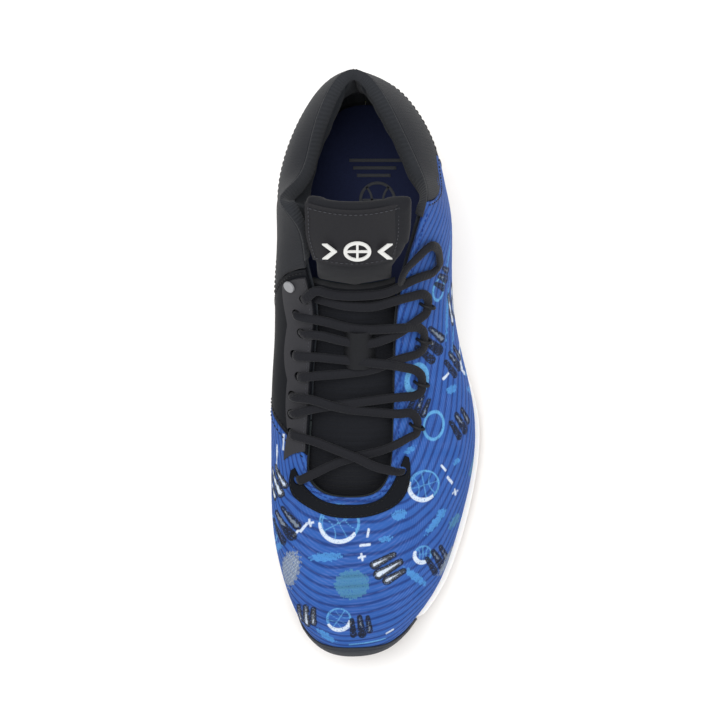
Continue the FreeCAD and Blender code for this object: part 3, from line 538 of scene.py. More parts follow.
def build_midsole():
    a = np.linspace(0.0, COUNT, MIDSOLE_ROUND, endpoint=False)
    h = np.linspace(0.0, 1.0, MIDSOLE_UP)
    along = (a + COUNT / 2) % COUNT - COUNT / 2
    toe = ease((BUMPER_LATERAL + BUMPER_STEP - along) / BUMPER_STEP)
    toe = toe * ease((along - BUMPER_MEDIAL + BUMPER_STEP) / BUMPER_STEP)
    edge = sole_edge(a)
    away = outward(a)
    rings = []
    for height in h:
        waist = 1.1 * math.sin(math.pi * height) ** 2
        groove = sum(0.8 * math.exp(-((height - g) / 0.035) ** 2) for g in (0.3, 0.72))
        lip = 0.7 * max(0.0, 1.0 - min(height, 1.0 - height) / 0.04)
        inset = 2.2 * toe + (1.0 - 0.7 * toe) * (waist + groove) + lip
        points = edge - away * inset[:, None]
        low = ground_line(points[:, 1]) + 4.4
        points[:, 2] = low + (footbed_line(points[:, 1]) - low) * height
        rings.append(points)
    return turned_out(loop_mesh("midsole_block", np.array(rings), foam))


midsole = build_midsole()
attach(midsole, SHOE)
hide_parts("midsole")

# ================================================================ toe bumper
# A grey rubber guard that wraps the toe, with fine ribs moulded along it.
bumper_rubber = grained("bumper_rubber_grey", "#2F323A", 0.6, 800.0, 0.1, "#22252C", "#31353D")


def build_bumper():
    s = np.linspace(0.0, 1.0, 220)
    a = BUMPER_MEDIAL + (BUMPER_LATERAL - BUMPER_MEDIAL) * s
    lap = 0.03 + 0.17 * np.sin(math.pi * np.clip(s, 0.001, 0.999)) ** 0.8
    thin = 1.0 - ease(np.minimum(s, 1.0 - s) / 0.09)

    def rows(depth):
        edge = sole_edge(a) - outward(a) * (0.3 - depth)[:, None]
        foot = ground_line(edge[:, 1]) + 4.3
        brow = footbed_line(edge[:, 1])
        column = [np.column_stack((edge[:, :2], foot + (brow - foot) * h)) for h in (0.0, 0.3, 0.6, 0.85)]
        column += [skin(a, 0.04 + (lap - 0.04) * h, 1.3 + depth) for h in (0.35, 0.6, 0.8, 1.0)]
        return np.stack(column, 1)
    fine = np.linspace(0.0, 1.0, 110)
    outer, inner = rows(-0.6 * thin), rows(-1.1 - 0.3 * thin)
    rings = []
    for front, back in zip(outer, inner):
        line, _ = spline(front, fine)
        rear, _ = spline(back, np.linspace(1.0, 0.0, 12))
        away = unit(line - fine[:, None] * (rear[0] - rear[-1]) - rear[-1])
        rib = 0.22 * np.abs(np.sin(math.pi * fine * 16)) ** 0.7 * (fine > 0.1) * (fine < 0.94)
        rings.append(np.concatenate((line + away * (rib - 0.2)[:, None], rear)))
    return turned_out(loop_mesh("toe_guard", np.array(rings), bumper_rubber))


bumper = build_bumper()
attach(bumper, SHOE)
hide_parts("toe_bumper")

# ================================================================ blue textile upper
# Padded ripple textile that runs from the medial break, round the toe, to the lateral collar.
# Rounded ridges with narrow valleys follow the toe and sweep down to the sole further back; the valleys
# are darkened with painted shade. A printed collage of plain balls, rings, streaks, blots and dashes lies
# over the ridges.
RIDGES = 21.0
RIDGE_SWEEP = 0.09
RIDGE_HEIGHT = 0.5
PRINTS = (
    ("ball", -0.47, 0.894, 0.5, 10.0, 0.8), ("ball", 3.77, 0.78, 0.2, 8.0, 0.7),
    ("ball", -0.45, 0.432, 1.0, 6.2, 0.6), ("ball", 2.34, 0.584, 0.0, 4.6, 0.6),
    ("ball", 6.7, 0.32, 0.4, 8.5, 0.8), ("ball", -4.0, 0.33, 0.4, 7.5, 0.7),
    ("teal", -0.01, 0.623, 0.0, 9.0, 8.0), ("teal", 3.85, 0.391, 0.4, 5.0, 3.0),
    ("teal", 8.0, 0.30, 0.2, 8.0, 5.0), ("teal", 5.0, 0.25, 0.2, 7.0, 4.0),
    ("ring", 7.65, 0.662, 0.0, 4.6, 1.2), ("ring", 5.09, 0.767, 0.0, 5.6, 1.3),
    ("ring", 5.84, 0.873, 0.0, 5.6, 2.8), ("ring", 7.2, 0.18, 0.0, 6.0, 1.6),
    ("light", 7.33, 0.551, 1.5, 30.0, 2.6), ("light", 6.9, 0.50, 1.5, 22.0, 1.6),
    ("light", -0.81, 0.737, 0.1, 17.0, 4.6), ("light", 1.17, 0.79, 0.2, 7.0, 3.0),
    ("light", 1.9, 0.513, -0.75, 16.0, 4.0), ("light", 3.29, 0.607, 0.8, 16.0, 4.0),
    ("light", 2.11, 0.849, 0.3, 8.0, 5.5), ("light", -0.92, 0.283, -0.6, 12.0, 4.0),
    ("light", 7.07, 0.797, 0.9, 8.0, 4.0), ("light", 5.87, 0.615, 0.2, 7.0, 4.5),
    ("light", 4.42, 0.905, 0.6, 6.0, 3.0), ("light", 4.73, 0.553, 0.6, 5.0, 3.0),
    ("light", 3.59, 0.588, 0.6, 5.0, 4.0), ("light", 6.2, 0.28, 0.9, 18.0, 4.0),
    ("light", 8.5, 0.55, 1.3, 22.0, 3.0), ("light", -3.3, 0.40, 0.9, 15.0, 4.0),
    ("light", -5.6, 0.30, 0.5, 14.0, 4.0), ("light", 4.2, 0.22, 0.3, 16.0, 3.0),
    ("white", 0.65, 0.842, 1.4, 5.0, 1.2), ("white", 0.47, 0.793, 0.1, 6.0, 1.4),
    ("plus", 0.33, 0.743, 0.2, 4.4, 1.1), ("white", -1.92, 0.75, 0.9, 5.0, 1.2),
    ("white", -1.73, 0.801, 0.9, 6.0, 1.4), ("plus", -1.58, 0.843, 0.2, 4.4, 1.1),
    ("white", 4.43, 0.662, -0.9, 5.0, 1.2), ("white", 4.32, 0.585, -0.9, 6.0, 1.4),
    ("plus", 4.23, 0.502, 0.2, 4.4, 1.1), ("white", 6.04, 0.66, 0.6, 5.0, 1.6),
    ("white", 1.0, 0.28, 0.4, 5.0, 1.4), ("cyan", 0.36, 0.24, 0.1, 20.0, 1.2),
    ("brush", 1.07, 0.661, -0.5, 10.0, 5.0), ("brush", -1.58, 0.348, 0.6, 8.0, 4.5),
    ("brush", 7.7, 0.40, 1.3, 13.0, 5.0), ("brush", -4.6, 0.55, 1.2, 10.0, 4.0),
    ("dark", 0.15, 0.387, 0.7, 8.0, 6.0), ("dark", 2.84, 0.439, 1.1, 9.0, 4.5),
    ("dark", -2.91, 0.647, 1.3, 11.0, 4.5), ("dark", 6.49, 0.774, 1.4, 11.0, 4.5),
    ("dark", 5.35, 0.87, 0.2, 8.0, 2.8), ("dark", 5.39, 0.548, 1.2, 9.0, 4.5),
    ("dark", 6.39, 0.556, 1.4, 9.0, 3.2), ("dark", 7.9, 0.62, 1.4, 8.0, 3.5),
    ("grey", -2.06, 0.531, 1.3, 11.0, 5.5), ("grey", 3.3, 0.25, 0.4, 10.0, 4.0),
    ("white", -5.13, 0.60, 1.5, 12.0, 1.3), ("white", -5.25, 0.72, 1.5, 9.0, 1.3),
)
LIGHT_BLUE, CYAN, TEAL, WHITE, DARK, GREY = "light", "cyan", "teal", "white", "dark", "grey"
CHANNELS = (TEAL, LIGHT_BLUE, CYAN, WHITE, DARK, GREY)


def ragged(x, y, amount):
    """Uneven edges, as of a dry brush."""
    return amount * (np.sin(1.9 * x + 1.1 * y) + np.sin(3.1 * y - 1.3 * x + 1.0) + 0.7 * np.sin(5.3 * x + 0.6)
                     + 0.7 * np.sin(4.7 * y + 2.0)) / 2.4


SLASHES = ((-7.5, -2.5, -1.0, 7.0, 1.7), (-3.0, -6.0, 4.0, 5.0, 2.2), (2.5, -7.0, 8.0, 1.5, 1.7))


def slashes(x, y):
    """Three side-by-side tapered strokes, as a distance in tenths of its size, positive inside."""
    best = np.full(np.shape(x), -9.0)
    for x0, y0, x1, y1, width in SLASHES:
        length = math.hypot(x1 - x0, y1 - y0)
        along = np.clip(((x - x0) * (x1 - x0) + (y - y0) * (y1 - y0)) / length ** 2, 0.0, 1.0)
        away = np.hypot(x - x0 - along * (x1 - x0), y - y0 - along * (y1 - y0))
        best = np.maximum(best, width * (1.0 - 0.45 * along) - away)
    return best


def shape_of(kind, x, y, size, width):
    """The channels that one print paints, each as a distance in mm, positive inside."""
    r = np.hypot(x, y)
    if kind == "ball":
        line = width / 2 - np.abs(r - size)
        second = width * 0.35 - np.abs(np.hypot(x - 0.08 * size, y + 0.06 * size) - 0.97 * size)
        line = np.maximum(line, second)
        taper = np.clip(0.9 + 0.7 * np.cos(np.arctan2(y, x) + 2.2), 0.0, 2.0)
        arc = np.where(x < 0.5 * size, taper * 0.75 - np.abs(r - size), -9.0)
        arc = np.where(np.cos(np.arctan2(y, x) + 2.2) > 0.1, arc, -9.0)
        inside = size - r
        seams = np.maximum(width * 0.3 - np.abs(x), width * 0.3 - np.abs(y))
        for side in (-1, 1):
            bow = width * 0.3 - np.abs(np.hypot(x - side * 1.35 * size, y) - size)
            seams = np.maximum(seams, bow)
        return {WHITE: arc, CYAN: np.maximum(line, np.minimum(seams, inside))}
    if kind == "ring":
        return {CYAN: width / 2 - np.abs(np.hypot(x, y * 0.75) - size)}
    if kind == "plus":
        arm = np.maximum(np.minimum(size / 2 - np.abs(x), width / 2 - np.abs(y)),
                         np.minimum(size / 2 - np.abs(y), width / 2 - np.abs(x)))
        return {WHITE: arm}
    if kind in ("white", "cyan"):
        return {kind: np.minimum(size / 2 - np.abs(x), width / 2 - np.abs(y))}
    blot = (1.0 - np.hypot(x / size, y / width)) * width
    if kind == "teal":
        return {TEAL: blot + ragged(x, y, 1.3)}
    if kind == "brush":
        mark = slashes(x / size * 10.0, y / size * 10.0) * size / 10.0
        return {WHITE: mark, DARK: 0.9 - np.abs(mark + 0.1 * ragged(x, y, 1.0) - 0.1)}
    if kind == "grey":
        flecks = np.minimum(blot, 1.2) + ragged(2 * y, 2 * x, 1.5) - 1.4
        return {GREY: blot + ragged(x, y, 1.4), WHITE: flecks}
    if kind == "dark":
        mark = slashes(x / size * 10.0, y / size * 10.0) * size / 10.0
        return {DARK: mark + 0.5, GREY: np.where(x > 0, mark - 0.9, -3.0) + ragged(x, y, 0.4)}
    return {LIGHT_BLUE: (1.0 - np.hypot(2.0 * x / size, 2.0 * y / width)) * width / 2 + ragged(x, y, 0.7)}


def print_fields(points):
    """Paint every print on the given points of the upper."""
    fields = {channel: np.full(points.shape[:2], -3.0) for channel in CHANNELS}
    for kind, a, t, angle, size, width in PRINTS:
        centre = upper(np.array([a]), np.array([t]))[0]
        normal = upper_normal(np.array([a]), np.array([t]))[0]
        right = unit(np.array((1.0, 0.0, 0.0)) - normal * normal[0])
        ahead = np.cross(normal, right)
        offset = points - centre
        x0, y0 = offset @ right, offset @ ahead
        x = x0 * math.cos(angle) + y0 * math.sin(angle)
        y = y0 * math.cos(angle) - x0 * math.sin(angle)
        near = np.abs(offset @ normal) < 14.0
        for channel, distance in shape_of(kind, x, y, size, width).items():
            fields[channel] = np.maximum(fields[channel], np.where(near, distance, -3.0))
    return fields


def ridge_phase(a, t):
    wide = np.abs(((a + 14.0) % COUNT) - 14.0) - 2.0
    sweep = 0.5 * (wide + np.sqrt(wide ** 2 + 0.9))
    wander = 0.10 * np.sin(2.3 * a + 6.0 * t) + 0.06 * np.sin(4.1 * a - 11.0 * t)
    return RIDGES * (t + RIDGE_SWEEP * sweep) + wander


def ridge_wave(a, t):
    return np.abs(np.sin(math.pi * ridge_phase(a, t))) ** 0.55


def fine_lines(a, t):
    """Three thin woven lines that run along each ridge."""
    return 0.5 + 0.5 * np.cos(8.0 * math.pi * ridge_phase(a, t))


def ridge_depth(a, t):
    fade = ease(t / 0.03) * ease((1.0 - t) / 0.02)
    return RIDGE_HEIGHT * (ridge_wave(a, t) - 0.75) * fade


ripple, ripple_tree, ripple_surface = new_finish("ripple_textile_blue", "#2858A8", 0.78)
ripple_surface.inputs["Sheen Weight"].default_value = 0.2
ripple_surface.inputs["Sheen Tint"].default_value = linear("#A9B8EC")
ripple_surface.inputs["Sheen Roughness"].default_value = 0.4
weave(ripple_tree, ripple_surface, 0.7, 0.12)
ridge_value = add(ripple_tree, "Attribute", attribute_name="ridge")
where = add(ripple_tree, "TexCoord")
cloud = add(ripple_tree, "TexNoise", {"Vector": where.outputs["Object"]}, Scale=45.0, Detail=4.0)
tone = shade(ripple_tree, ripple_surface, cloud.outputs["Fac"], "#234A91", "#3060AB")
# Painted shade: the colour is blended towards a deep navy (#16316E) in the valleys between the ridges.
painted_valley_shade = add(ripple_tree, "MapRange", {"Value": ridge_value.outputs["Fac"]}, From_Min=0.35, From_Max=0.85)
mixed = add(ripple_tree, "Mix", {"Factor": painted_valley_shade.outputs[0], 7: tone.outputs[2]}, data_type="RGBA")
mixed.inputs[6].default_value = linear("#16316E")
line_value = add(ripple_tree, "Attribute", attribute_name="line")
broken = add(ripple_tree, "TexNoise", {"Vector": where.outputs["Object"]}, Scale=160.0, Detail=3.0)
streak = add(ripple_tree, "Math", {0: line_value.outputs["Fac"], 1: broken.outputs["Fac"]},
             operation="MULTIPLY")
streak_amount = add(ripple_tree, "MapRange", {"Value": streak.outputs[0]},
                    From_Min=0.2, From_Max=0.75, To_Max=0.55)
lined = add(ripple_tree, "Mix", {"Factor": streak_amount.outputs[0], 6: mixed.outputs[2]}, data_type="RGBA")
lined.inputs[7].default_value = linear("#5B72B6")
mixed = lined
PRINT_COLOURS = {DARK: "#151820", GREY: "#7C8794", TEAL: "#4E8A9C", LIGHT_BLUE: "#4C90CC",
                 CYAN: "#66AEDC", WHITE: "#CDD8E4"}
PRINT_STRENGTH = {DARK: 0.95, GREY: 0.8, TEAL: 0.55, LIGHT_BLUE: 0.7, CYAN: 0.7, WHITE: 0.92}
for channel in CHANNELS:
    edge_value = add(ripple_tree, "Attribute", attribute_name="print_" + channel)
    inside = add(ripple_tree, "MapRange", {"Value": edge_value.outputs["Fac"]}, From_Min=-0.25, From_Max=0.25)
    speckle = add(ripple_tree, "TexNoise", {"Vector": where.outputs["Object"]}, Scale=1400.0, Detail=2.0)
    worn = add(ripple_tree, "MapRange", {"Value": speckle.outputs["Fac"]}, From_Min=0.25, From_Max=0.45)
    share = add(ripple_tree, "Math", {0: worn.outputs[0]}, operation="MULTIPLY")
    share.inputs[1].default_value = PRINT_STRENGTH[channel]
    cover = add(ripple_tree, "Math", {0: inside.outputs[0], 1: share.outputs[0]}, operation="MULTIPLY")
    layer = add(ripple_tree, "Mix", {"Factor": cover.outputs[0], 6: mixed.outputs[2]}, data_type="RGBA")
    layer.inputs[7].default_value = linear(PRINT_COLOURS[channel])
    mixed = layer
ripple_tree.links.new(mixed.outputs[2], ripple_surface.inputs["Base Color"])


def medial_break(t):
    return 20.2 + 3.2 * t


def lateral_break(t):
    return WING + 1.5 * ease(2.0 * (1.0 - t))


TEXTILE_FIELDS = {"ridge": lambda p, a, t: ridge_wave(a, t), "line": lambda p, a, t: fine_lines(a, t)}


def one_channel(channel):
    def formula(p, a, t):
        return print_cache(p)[channel]
    return formula


PRINT_MEMORY = {}


def print_cache(points):
    key = (points.shape, float(points[0, 0, 0]))
    if key not in PRINT_MEMORY:
        PRINT_MEMORY[key] = print_fields(points)
    return PRINT_MEMORY[key]


TEXTILE_FIELDS.update({"print_" + channel: one_channel(channel) for channel in CHANNELS})
textile = panel("ripple_upper", patch(lambda r: medial_break(r) - COUNT + SEAM_STEP,
                                      lambda r: lateral_break(r) - SEAM_STEP, 0.0, 1.0),
                ridge_depth, -TEXTILE, 640, 138, ripple, fields=TEXTILE_FIELDS)
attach(textile, SHOE)
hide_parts("upper_textile")

# ================================================================ heel panel and collar knit
# Dark ripple textile round the heel below the collar, and ribbed knit on the collar's outside.
heel_cloth = woven("ripple_textile_black", "#17181B", 0.8, 0.7, 0.12)


def heel_ripple(a, t):
    return 0.4 * (np.abs(np.sin(math.pi * 20.0 * t)) ** 0.6 - 0.8) * ease(t / 0.03) * ease((0.496 - t) / 0.02)


heel_region = patch(lateral_break(0.0) + SEAM_STEP, MEDIAL_WING - SEAM_STEP, 0.0, KNIT_LOW - SEAM_RISE)
heel = panel("heel_wrap", heel_region, heel_ripple, -TEXTILE, 420, 90, heel_cloth)
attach(heel, SHOE)
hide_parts("heel_panel")

knit = woven("collar_rib_knit", "#1C1E23", 0.88, 0.9, 0.18)


def knit_rib(a, t):
    fade = ease((t - KNIT_LOW) / 0.03) * ease((1.0 - t) / 0.02)
    return 0.14 * (np.abs(np.sin(math.pi * 15.0 * a)) ** 0.7 - 0.8) * fade


SIDES = {"lateral": (WING + SEAM_STEP, HEEL - SEAM_STEP),
         "medial": (HEEL + SEAM_STEP, MEDIAL_WING - SEAM_STEP)}
KNIT_STARTS = {"lateral": lambda r: lateral_break(KNIT_LOW + (1.0 - KNIT_LOW) * r) + SEAM_STEP,
               "medial": SIDES["medial"][0]}
for side, (a0, a1) in SIDES.items():
    region = patch(KNIT_STARTS[side], a1, KNIT_LOW + SEAM_RISE, 1.0)
    cloth = panel("collar_outer_" + side, region, knit_rib, -TEXTILE, 260, 90, knit)
    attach(cloth, SHOE)
    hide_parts("collar_knit_" + side)

# ================================================================ collar pads
# Foam collar padding under a soft lining, in two halves that meet in a pinched crease over the
# heel tendon. Each half is one closed cushion that swells at the ankle, with soft folds.
lining = woven("collar_lining_brushed", "#24282E", 0.9, 0.8, 0.15, Sheen_Roughness=0.5)
LINING_DEPTH = 3.2
LINING_WALL = 1.0
COLLAR_PAD = 10.0
HEEL_PAD = 4.0


def pad_depth(a, t):
    ankle = ease((a - 8.9) / 1.6) * ease((18.6 - a) / 1.6)
    heel_share = ease(1.0 - np.abs(a - HEEL) / 1.9)
    deepest = COLLAR_PAD * ankle + (HEEL_PAD - COLLAR_PAD) * heel_share
    return deepest * ease((t - 0.42) / 0.3) * (1.0 - 0.75 * ease((t - 0.8) / 0.2))


def pad_front(a, t):
    """The foot side: the pad's depth, a crease at the back and a few soft folds."""
    crease = 2.2 * np.exp(-((a - HEEL) / 0.13) ** 2) * ease((t - 0.5) / 0.2)
    folds = 0.35 * np.sin(9.0 * a + 14.0 * t) * np.sin(5.0 * a - 9.0 * t) * ease((t - 0.45) / 0.2)
    pinch = 0.9 * np.exp(-((np.abs(a - HEEL) - 0.55 - 1.6 * (1.0 - t)) / 0.09) ** 2) * ease((t - 0.55) / 0.15)
    room = ease(pad_depth(a, t) / 3.0)
    ankle = ease((a - 8.9) / 1.6) * ease((18.6 - a) / 1.6)
    slope = 3.2 * ease((t - 0.2) / 0.3) * (1.0 - ease((t - 0.55) / 0.3)) * ankle
    flare = 0.9 * (1.0 - ease(t / 0.05))
    depth = LINING_DEPTH + LINING_WALL + pad_depth(a, t) + slope + flare
    return -depth + (crease + pinch - folds) * room


def pad_back(a, t):
    foam_zone = ease((t - 0.5) / 0.03) * ease((a - 9.15) / 0.1) * ease((19.0 - a) / 0.1)
    return -LINING_DEPTH + (LINING_DEPTH - 1.75) * foam_zone


HEEL_SEAM = 0.004
PADS = {"lateral": (5.5 + SEAM_STEP, HEEL - HEEL_SEAM), "medial": (HEEL + HEEL_SEAM, 22.5 - SEAM_STEP)}
for side, (a0, a1) in PADS.items():
    pad = panel("collar_pad_" + side, patch(a0, a1, 0.0, 1.0), pad_front, pad_back, 330, 150, lining,
                inner_up=60, edge=-0.4)
    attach(pad, SHOE)
    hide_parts("collar_lining_" + side, "collar_foam_" + side)

# ================================================================ collar binding
# A woven tape folded over the top edge from wing to wing, a little lighter than the knit.
tape = woven("collar_tape_woven", "#26282C", 0.82, 0.8, 0.15)


def build_binding():
    a = np.linspace(8.8, 18.8, 900)
    rise = unit(on_ring(RAILS[3], a) - on_ring(RAILS[2], a))
    depth = LINING_DEPTH + LINING_WALL + pad_depth(a, 1.0)
    top, low = [], []
    for w in np.linspace(0.0, 1.0, 18):
        crown = 1.1 + 0.8 * math.sin(math.pi * w) + 0.12 * np.sin(math.pi * a * 22.0)
        top.append(skin(a, 1.0 + 0 * a, -depth * w) + rise * np.broadcast_to(crown, a.shape)[:, None])
    for w in np.linspace(1.0, 0.0, 5):
        low.append(skin(a, 1.0 + 0 * a, -depth * w) + rise * 0.2)
    return turned_out(loop_mesh("collar_tape", np.stack(top + low, 1), tape))


binding = build_binding()
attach(binding, SHOE)
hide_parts("collar_binding")

# ================================================================ medial side
# A smooth black synthetic quarter with a fused grey eyestay, punched for the laces, a metal disc
# rivet, and the black saddle strap round the throat. Their outlines and holes are the CAD's.
synthetic = grained("synthetic_black_matt", "#121317", 0.6, 1500.0, 0.08, "#0E0F13", "#181A1F",
                    Specular_IOR_Level=0.08)
stay = grained("overlay_grey_fused", "#2B2B2F", 0.55, 1800.0, 0.06, "#26262A", "#343438")
strap_skin = grained("strap_black_fused", "#0C0E13", 0.58, 1500.0, 0.08, "#090B0F", "#11141B",
                     Specular_IOR_Level=0.1)
steel = grained("rivet_grey_disc", "#8E8F92", 0.45, 2500.0, 0.02, "#86878A", "#97989B")
for node, finish in (("medial_quarter", synthetic), ("medial_eyestay", stay), ("vamp_strap", strap_skin),
                     ("eyestay_rivet", steel)):
    repaint(node, finish)

thread = bonded_thread("thread_black_bonded", "#0F1012")
pale_thread = bonded_thread("thread_grey_bonded", "#3A3B40")
blue_thread = bonded_thread("thread_blue_bonded", "#1E3F8A")
# Stitch length, thread width and gap, in mm.
FINE_STITCH = (1.7, 0.5, 0.7)
STRAP_STITCH = (1.9, 0.55, 0.8)
SEAM_STITCH = (2.0, 0.6, 0.9)

stay_run = np.linspace(19.25, 23.15, 240)
strap_run = np.linspace(-4.0, 3.95, 300)
rows = [row_on_upper(stay_run, from_top(stay_run, 1.9), 1.35)]
stitched("eyestay_stitching", rows, pale_thread, *FINE_STITCH, SHOE, "black_cord")
strap_end = np.abs(strap_run) / 4.25
strap_width = (7.0 + 3.0 * ease((strap_end - 0.3) / 0.5)) * np.sqrt(np.maximum(1.0 - strap_end ** 6, 0.06))
rows = [row_on_upper(strap_run, from_top(strap_run, 7.0 + strap_end + k * (strap_width / 2 - 1.2)), 1.4)
        for k in (-1, 1)]
stitched("strap_stitching", rows, thread, *STRAP_STITCH, SHOE, "black_cord")
seam = np.linspace(0.06, 0.99, 200)
rows = [row_on_upper(medial_break(seam) - COUNT + 0.14, seam, 0.25),
        row_on_upper(medial_break(seam) - 0.12, seam, 0.15),
        row_on_upper(np.linspace(WING + 1.6, MEDIAL_WING - 0.1, 500), KNIT_LOW - 0.02, 0.2),
        row_on_upper(lateral_break(seam) - 0.1, seam, 0.3),
        row_on_upper(0 * seam + MEDIAL_WING + 0.1, seam, 0.15),
        row_on_upper(HEEL + 0.07 + 0 * seam, 0.5 + 0.49 * seam, 0.2),
        row_on_upper(HEEL - 0.07 + 0 * seam, 0.5 + 0.49 * seam, 0.2)]
stitched("seam_stitching", rows, thread, *SEAM_STITCH, SHOE, "black_cord")
rim = np.linspace(3.9, 8.9, 260)
toe_rim = np.linspace(-4.4, 3.8, 200)
rows = [row_on_upper(rim, from_top(rim, 2.6), 0.3), row_on_upper(toe_rim, from_top(toe_rim, 1.5), 0.3)]
stitched("throat_stitching", rows, blue_thread, *SEAM_STITCH, SHOE, "black_cord")

# ================================================================ tongue
# Padded tongue in two parts: a ribbed lower part under the laces, and a thick top part that
# folds forward, with the label on it. The lower cover is a mesh with cross ribs in it.
TONGUE_X = -11.8
CROSSWISE = (1, 0, 0)
tongue_cloth = woven("tongue_textile_black", "#101218", 0.85, 0.8, 0.15)
LOWER_SPINE = ((-78.0, 44.0), (-66.0, 47.5), (-56.0, 54.5), (-44.0, 62.5), (-22.0, 71.5), (2.0, 82.5),
               (22.0, 93.0), (34.0, 100.5), (42.5, 106.0))


def build_tongue_cover():
    v = np.linspace(0.0, 1.0, 420)
    centre, along = spline([(TONGUE_X, y, z) for y, z in LOWER_SPINE], v)
    front = np.column_stack((0 * v, -along[:, 2], along[:, 1]))
    half = 25.0 - 4.5 * ease((v - 0.6) / 0.35)
    sag = 4.0 + 3.0 * ease(v / 0.4)
    ribs = 0.45 * np.abs(np.sin(math.pi * v * 38.0)) ** 0.7
    rings = []
    for k in range(len(v)):
        u_top = np.linspace(-1.0, 1.0, 70)
        u_low = np.linspace(1.0, -1.0, 14)
        flank = np.clip((1.0 - np.abs(u_top)) / 0.08, 0.0, 1.0)
        lift = 0.1 + ribs[k] * flank
        top = centre[k] + np.outer(u_top * half[k], CROSSWISE)
        top = top - np.outer(sag[k] * u_top ** 2 - lift, front[k])
        low = centre[k] + np.outer(u_low * half[k], CROSSWISE)
        low = low - np.outer(sag[k] * u_low ** 2 + 0.85, front[k])
        rings.append(np.concatenate((top, low)))
    return turned_out(loop_mesh("tongue_face", np.array(rings), tongue_cloth))


cover = build_tongue_cover()
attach(cover, SHOE)
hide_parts("tongue_cover")

foam_core = grained("pad_foam_open_cell", "#3A3B3E", 0.95, 1200.0, 0.2, "#303134", "#444548")
inner_cloth = grained("lining_mesh_dark", "#2A2F31", 0.9, 1600.0, 0.15, "#23282A", "#343A3C")
for node, finish in (("tongue_foam", foam_core), ("tongue_lining", inner_cloth),
                     ("vamp_lining", inner_cloth)):
    repaint(node, finish)

# The top part is one stuffed cushion: its rest shape is remeshed, swollen by its filling with a
# cloth simulation, held where the label is sewn down, and smoothed.
PAD_VOXEL = 0.0032
PAD_SWELL = 0.0016


def padded_copy(name, nodes, held_by, material):
    """A cushion from CAD nodes: joined, remeshed, swollen and kept near its own shape."""
    work = bmesh.new()
    for node in nodes:
        work.from_mesh(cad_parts[node].data)
    mesh = bpy.data.meshes.new(name)
    work.to_mesh(mesh)
    work.free()
    mesh.materials.clear()
    cushion = linked(mesh, material, name)
    swell = cushion.modifiers.new("remesh", "REMESH")
    swell.mode = "VOXEL"
    swell.voxel_size = PAD_VOXEL
    graph = bpy.context.evaluated_depsgraph_get()
    rest_mesh = bpy.data.meshes.new_from_object(cushion.evaluated_get(graph))
    cushion.modifiers.remove(swell)
    cushion.data = rest_mesh
    rest = np.zeros(len(rest_mesh.vertices) * 3)
    rest_mesh.vertices.foreach_get("co", rest)
    rest = rest.reshape(-1, 3)
    low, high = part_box(held_by)
    held = cushion.vertex_groups.new(name="held")
    inside = np.all((rest > np.array(low) - 0.003) & (rest < np.array(high) + 0.003), axis=1)
    front = rest[:, 1] < np.median(rest[:, 1]) + 0.02
    normals = np.array([v.normal[:] for v in rest_mesh.vertices])
    facing = normals[:, 1] < 0.1
    held.add(np.nonzero(inside & front & facing)[0].tolist(), 1.0, "REPLACE")
    cloth = cushion.modifiers.new("fill", "CLOTH")
    cloth.settings.use_pressure = True
    cloth.settings.uniform_pressure_force = 4.0
    cloth.settings.vertex_group_mass = "held"
    cloth.settings.effector_weights.gravity = 0.0
    cloth.point_cache.frame_start = 1
    cloth.point_cache.frame_end = 20
    for step in range(1, 21):
        scene.frame_set(step)
    blown = bpy.data.meshes.new_from_object(cushion.evaluated_get(bpy.context.evaluated_depsgraph_get()))
    now = np.zeros(len(blown.vertices) * 3)
    blown.vertices.foreach_get("co", now)
    cushion.modifiers.remove(cloth)
    scene.frame_set(1)
    move = now.reshape(-1, 3) - rest
    size = np.maximum(np.linalg.norm(move, axis=1, keepdims=True), 1e-9)
    rest = rest + move * np.minimum(1.0, PAD_SWELL / size)
    rest_mesh.vertices.foreach_set("co", rest.ravel())
    soft = cushion.modifiers.new("soft", "SUBSURF")
    soft.levels = 1
    soft.render_levels = 1
    final = bpy.data.meshes.new_from_object(cushion.evaluated_get(bpy.context.evaluated_depsgraph_get()))
    cushion.modifiers.remove(soft)
    cushion.data = final
    if not final.materials:
        final.materials.append(material)
    final.shade_smooth()
    return cushion


top_cloth = grained("tongue_top_textile", "#191A1F", 0.85, 1500.0, 0.2, "#101115", "#1B1C21",
                    Sheen_Weight=0.06)
tongue_pad = padded_copy("tongue_top_pad", ("tongue_top_cover", "tongue_top_foam", "tongue_top_lining"),
                         "tongue_label", top_cloth)


def drawn_out_ear(piece):
    """The pad's lateral edge is drawn out and up into a soft ear beside the label."""
    points = np.zeros(len(piece.data.vertices) * 3)
    piece.data.vertices.foreach_get("co", points)
    points = points.reshape(-1, 3) / MM
    share = ease((points[:, 0] + 1.0) / 12.0) * ease((points[:, 2] - 122.0) / 14.0)
    points += np.outer(share, (4.5, -0.5, 1.0))
    piece.data.vertices.foreach_set("co", (points * MM).ravel())
    piece.data.update()


drawn_out_ear(tongue_pad)
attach(tongue_pad, TONGUE_TOP)
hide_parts("tongue_top_cover", "tongue_top_foam", "tongue_top_lining")

# Label: a smooth dark patch sewn to the pad, with a raised white mark of a ball and two chevrons.
label_skin = grained("label_synthetic_dark", "#1C1C20", 0.62, 1700.0, 0.08, "#17171A", "#232327")
white_raised = grained("label_mark_white", "#E6E6E4", 0.5, 2000.0, 0.04, "#CFCFCC", "#E4E4E1")
repaint("tongue_label", label_skin)
repaint("label_mark", white_raised)
UPPER_SPINE = ((44.6, 110.0), (46.0, 119.0), (52.0, 133.0), (64.0, 149.0), (77.5, 164.0))


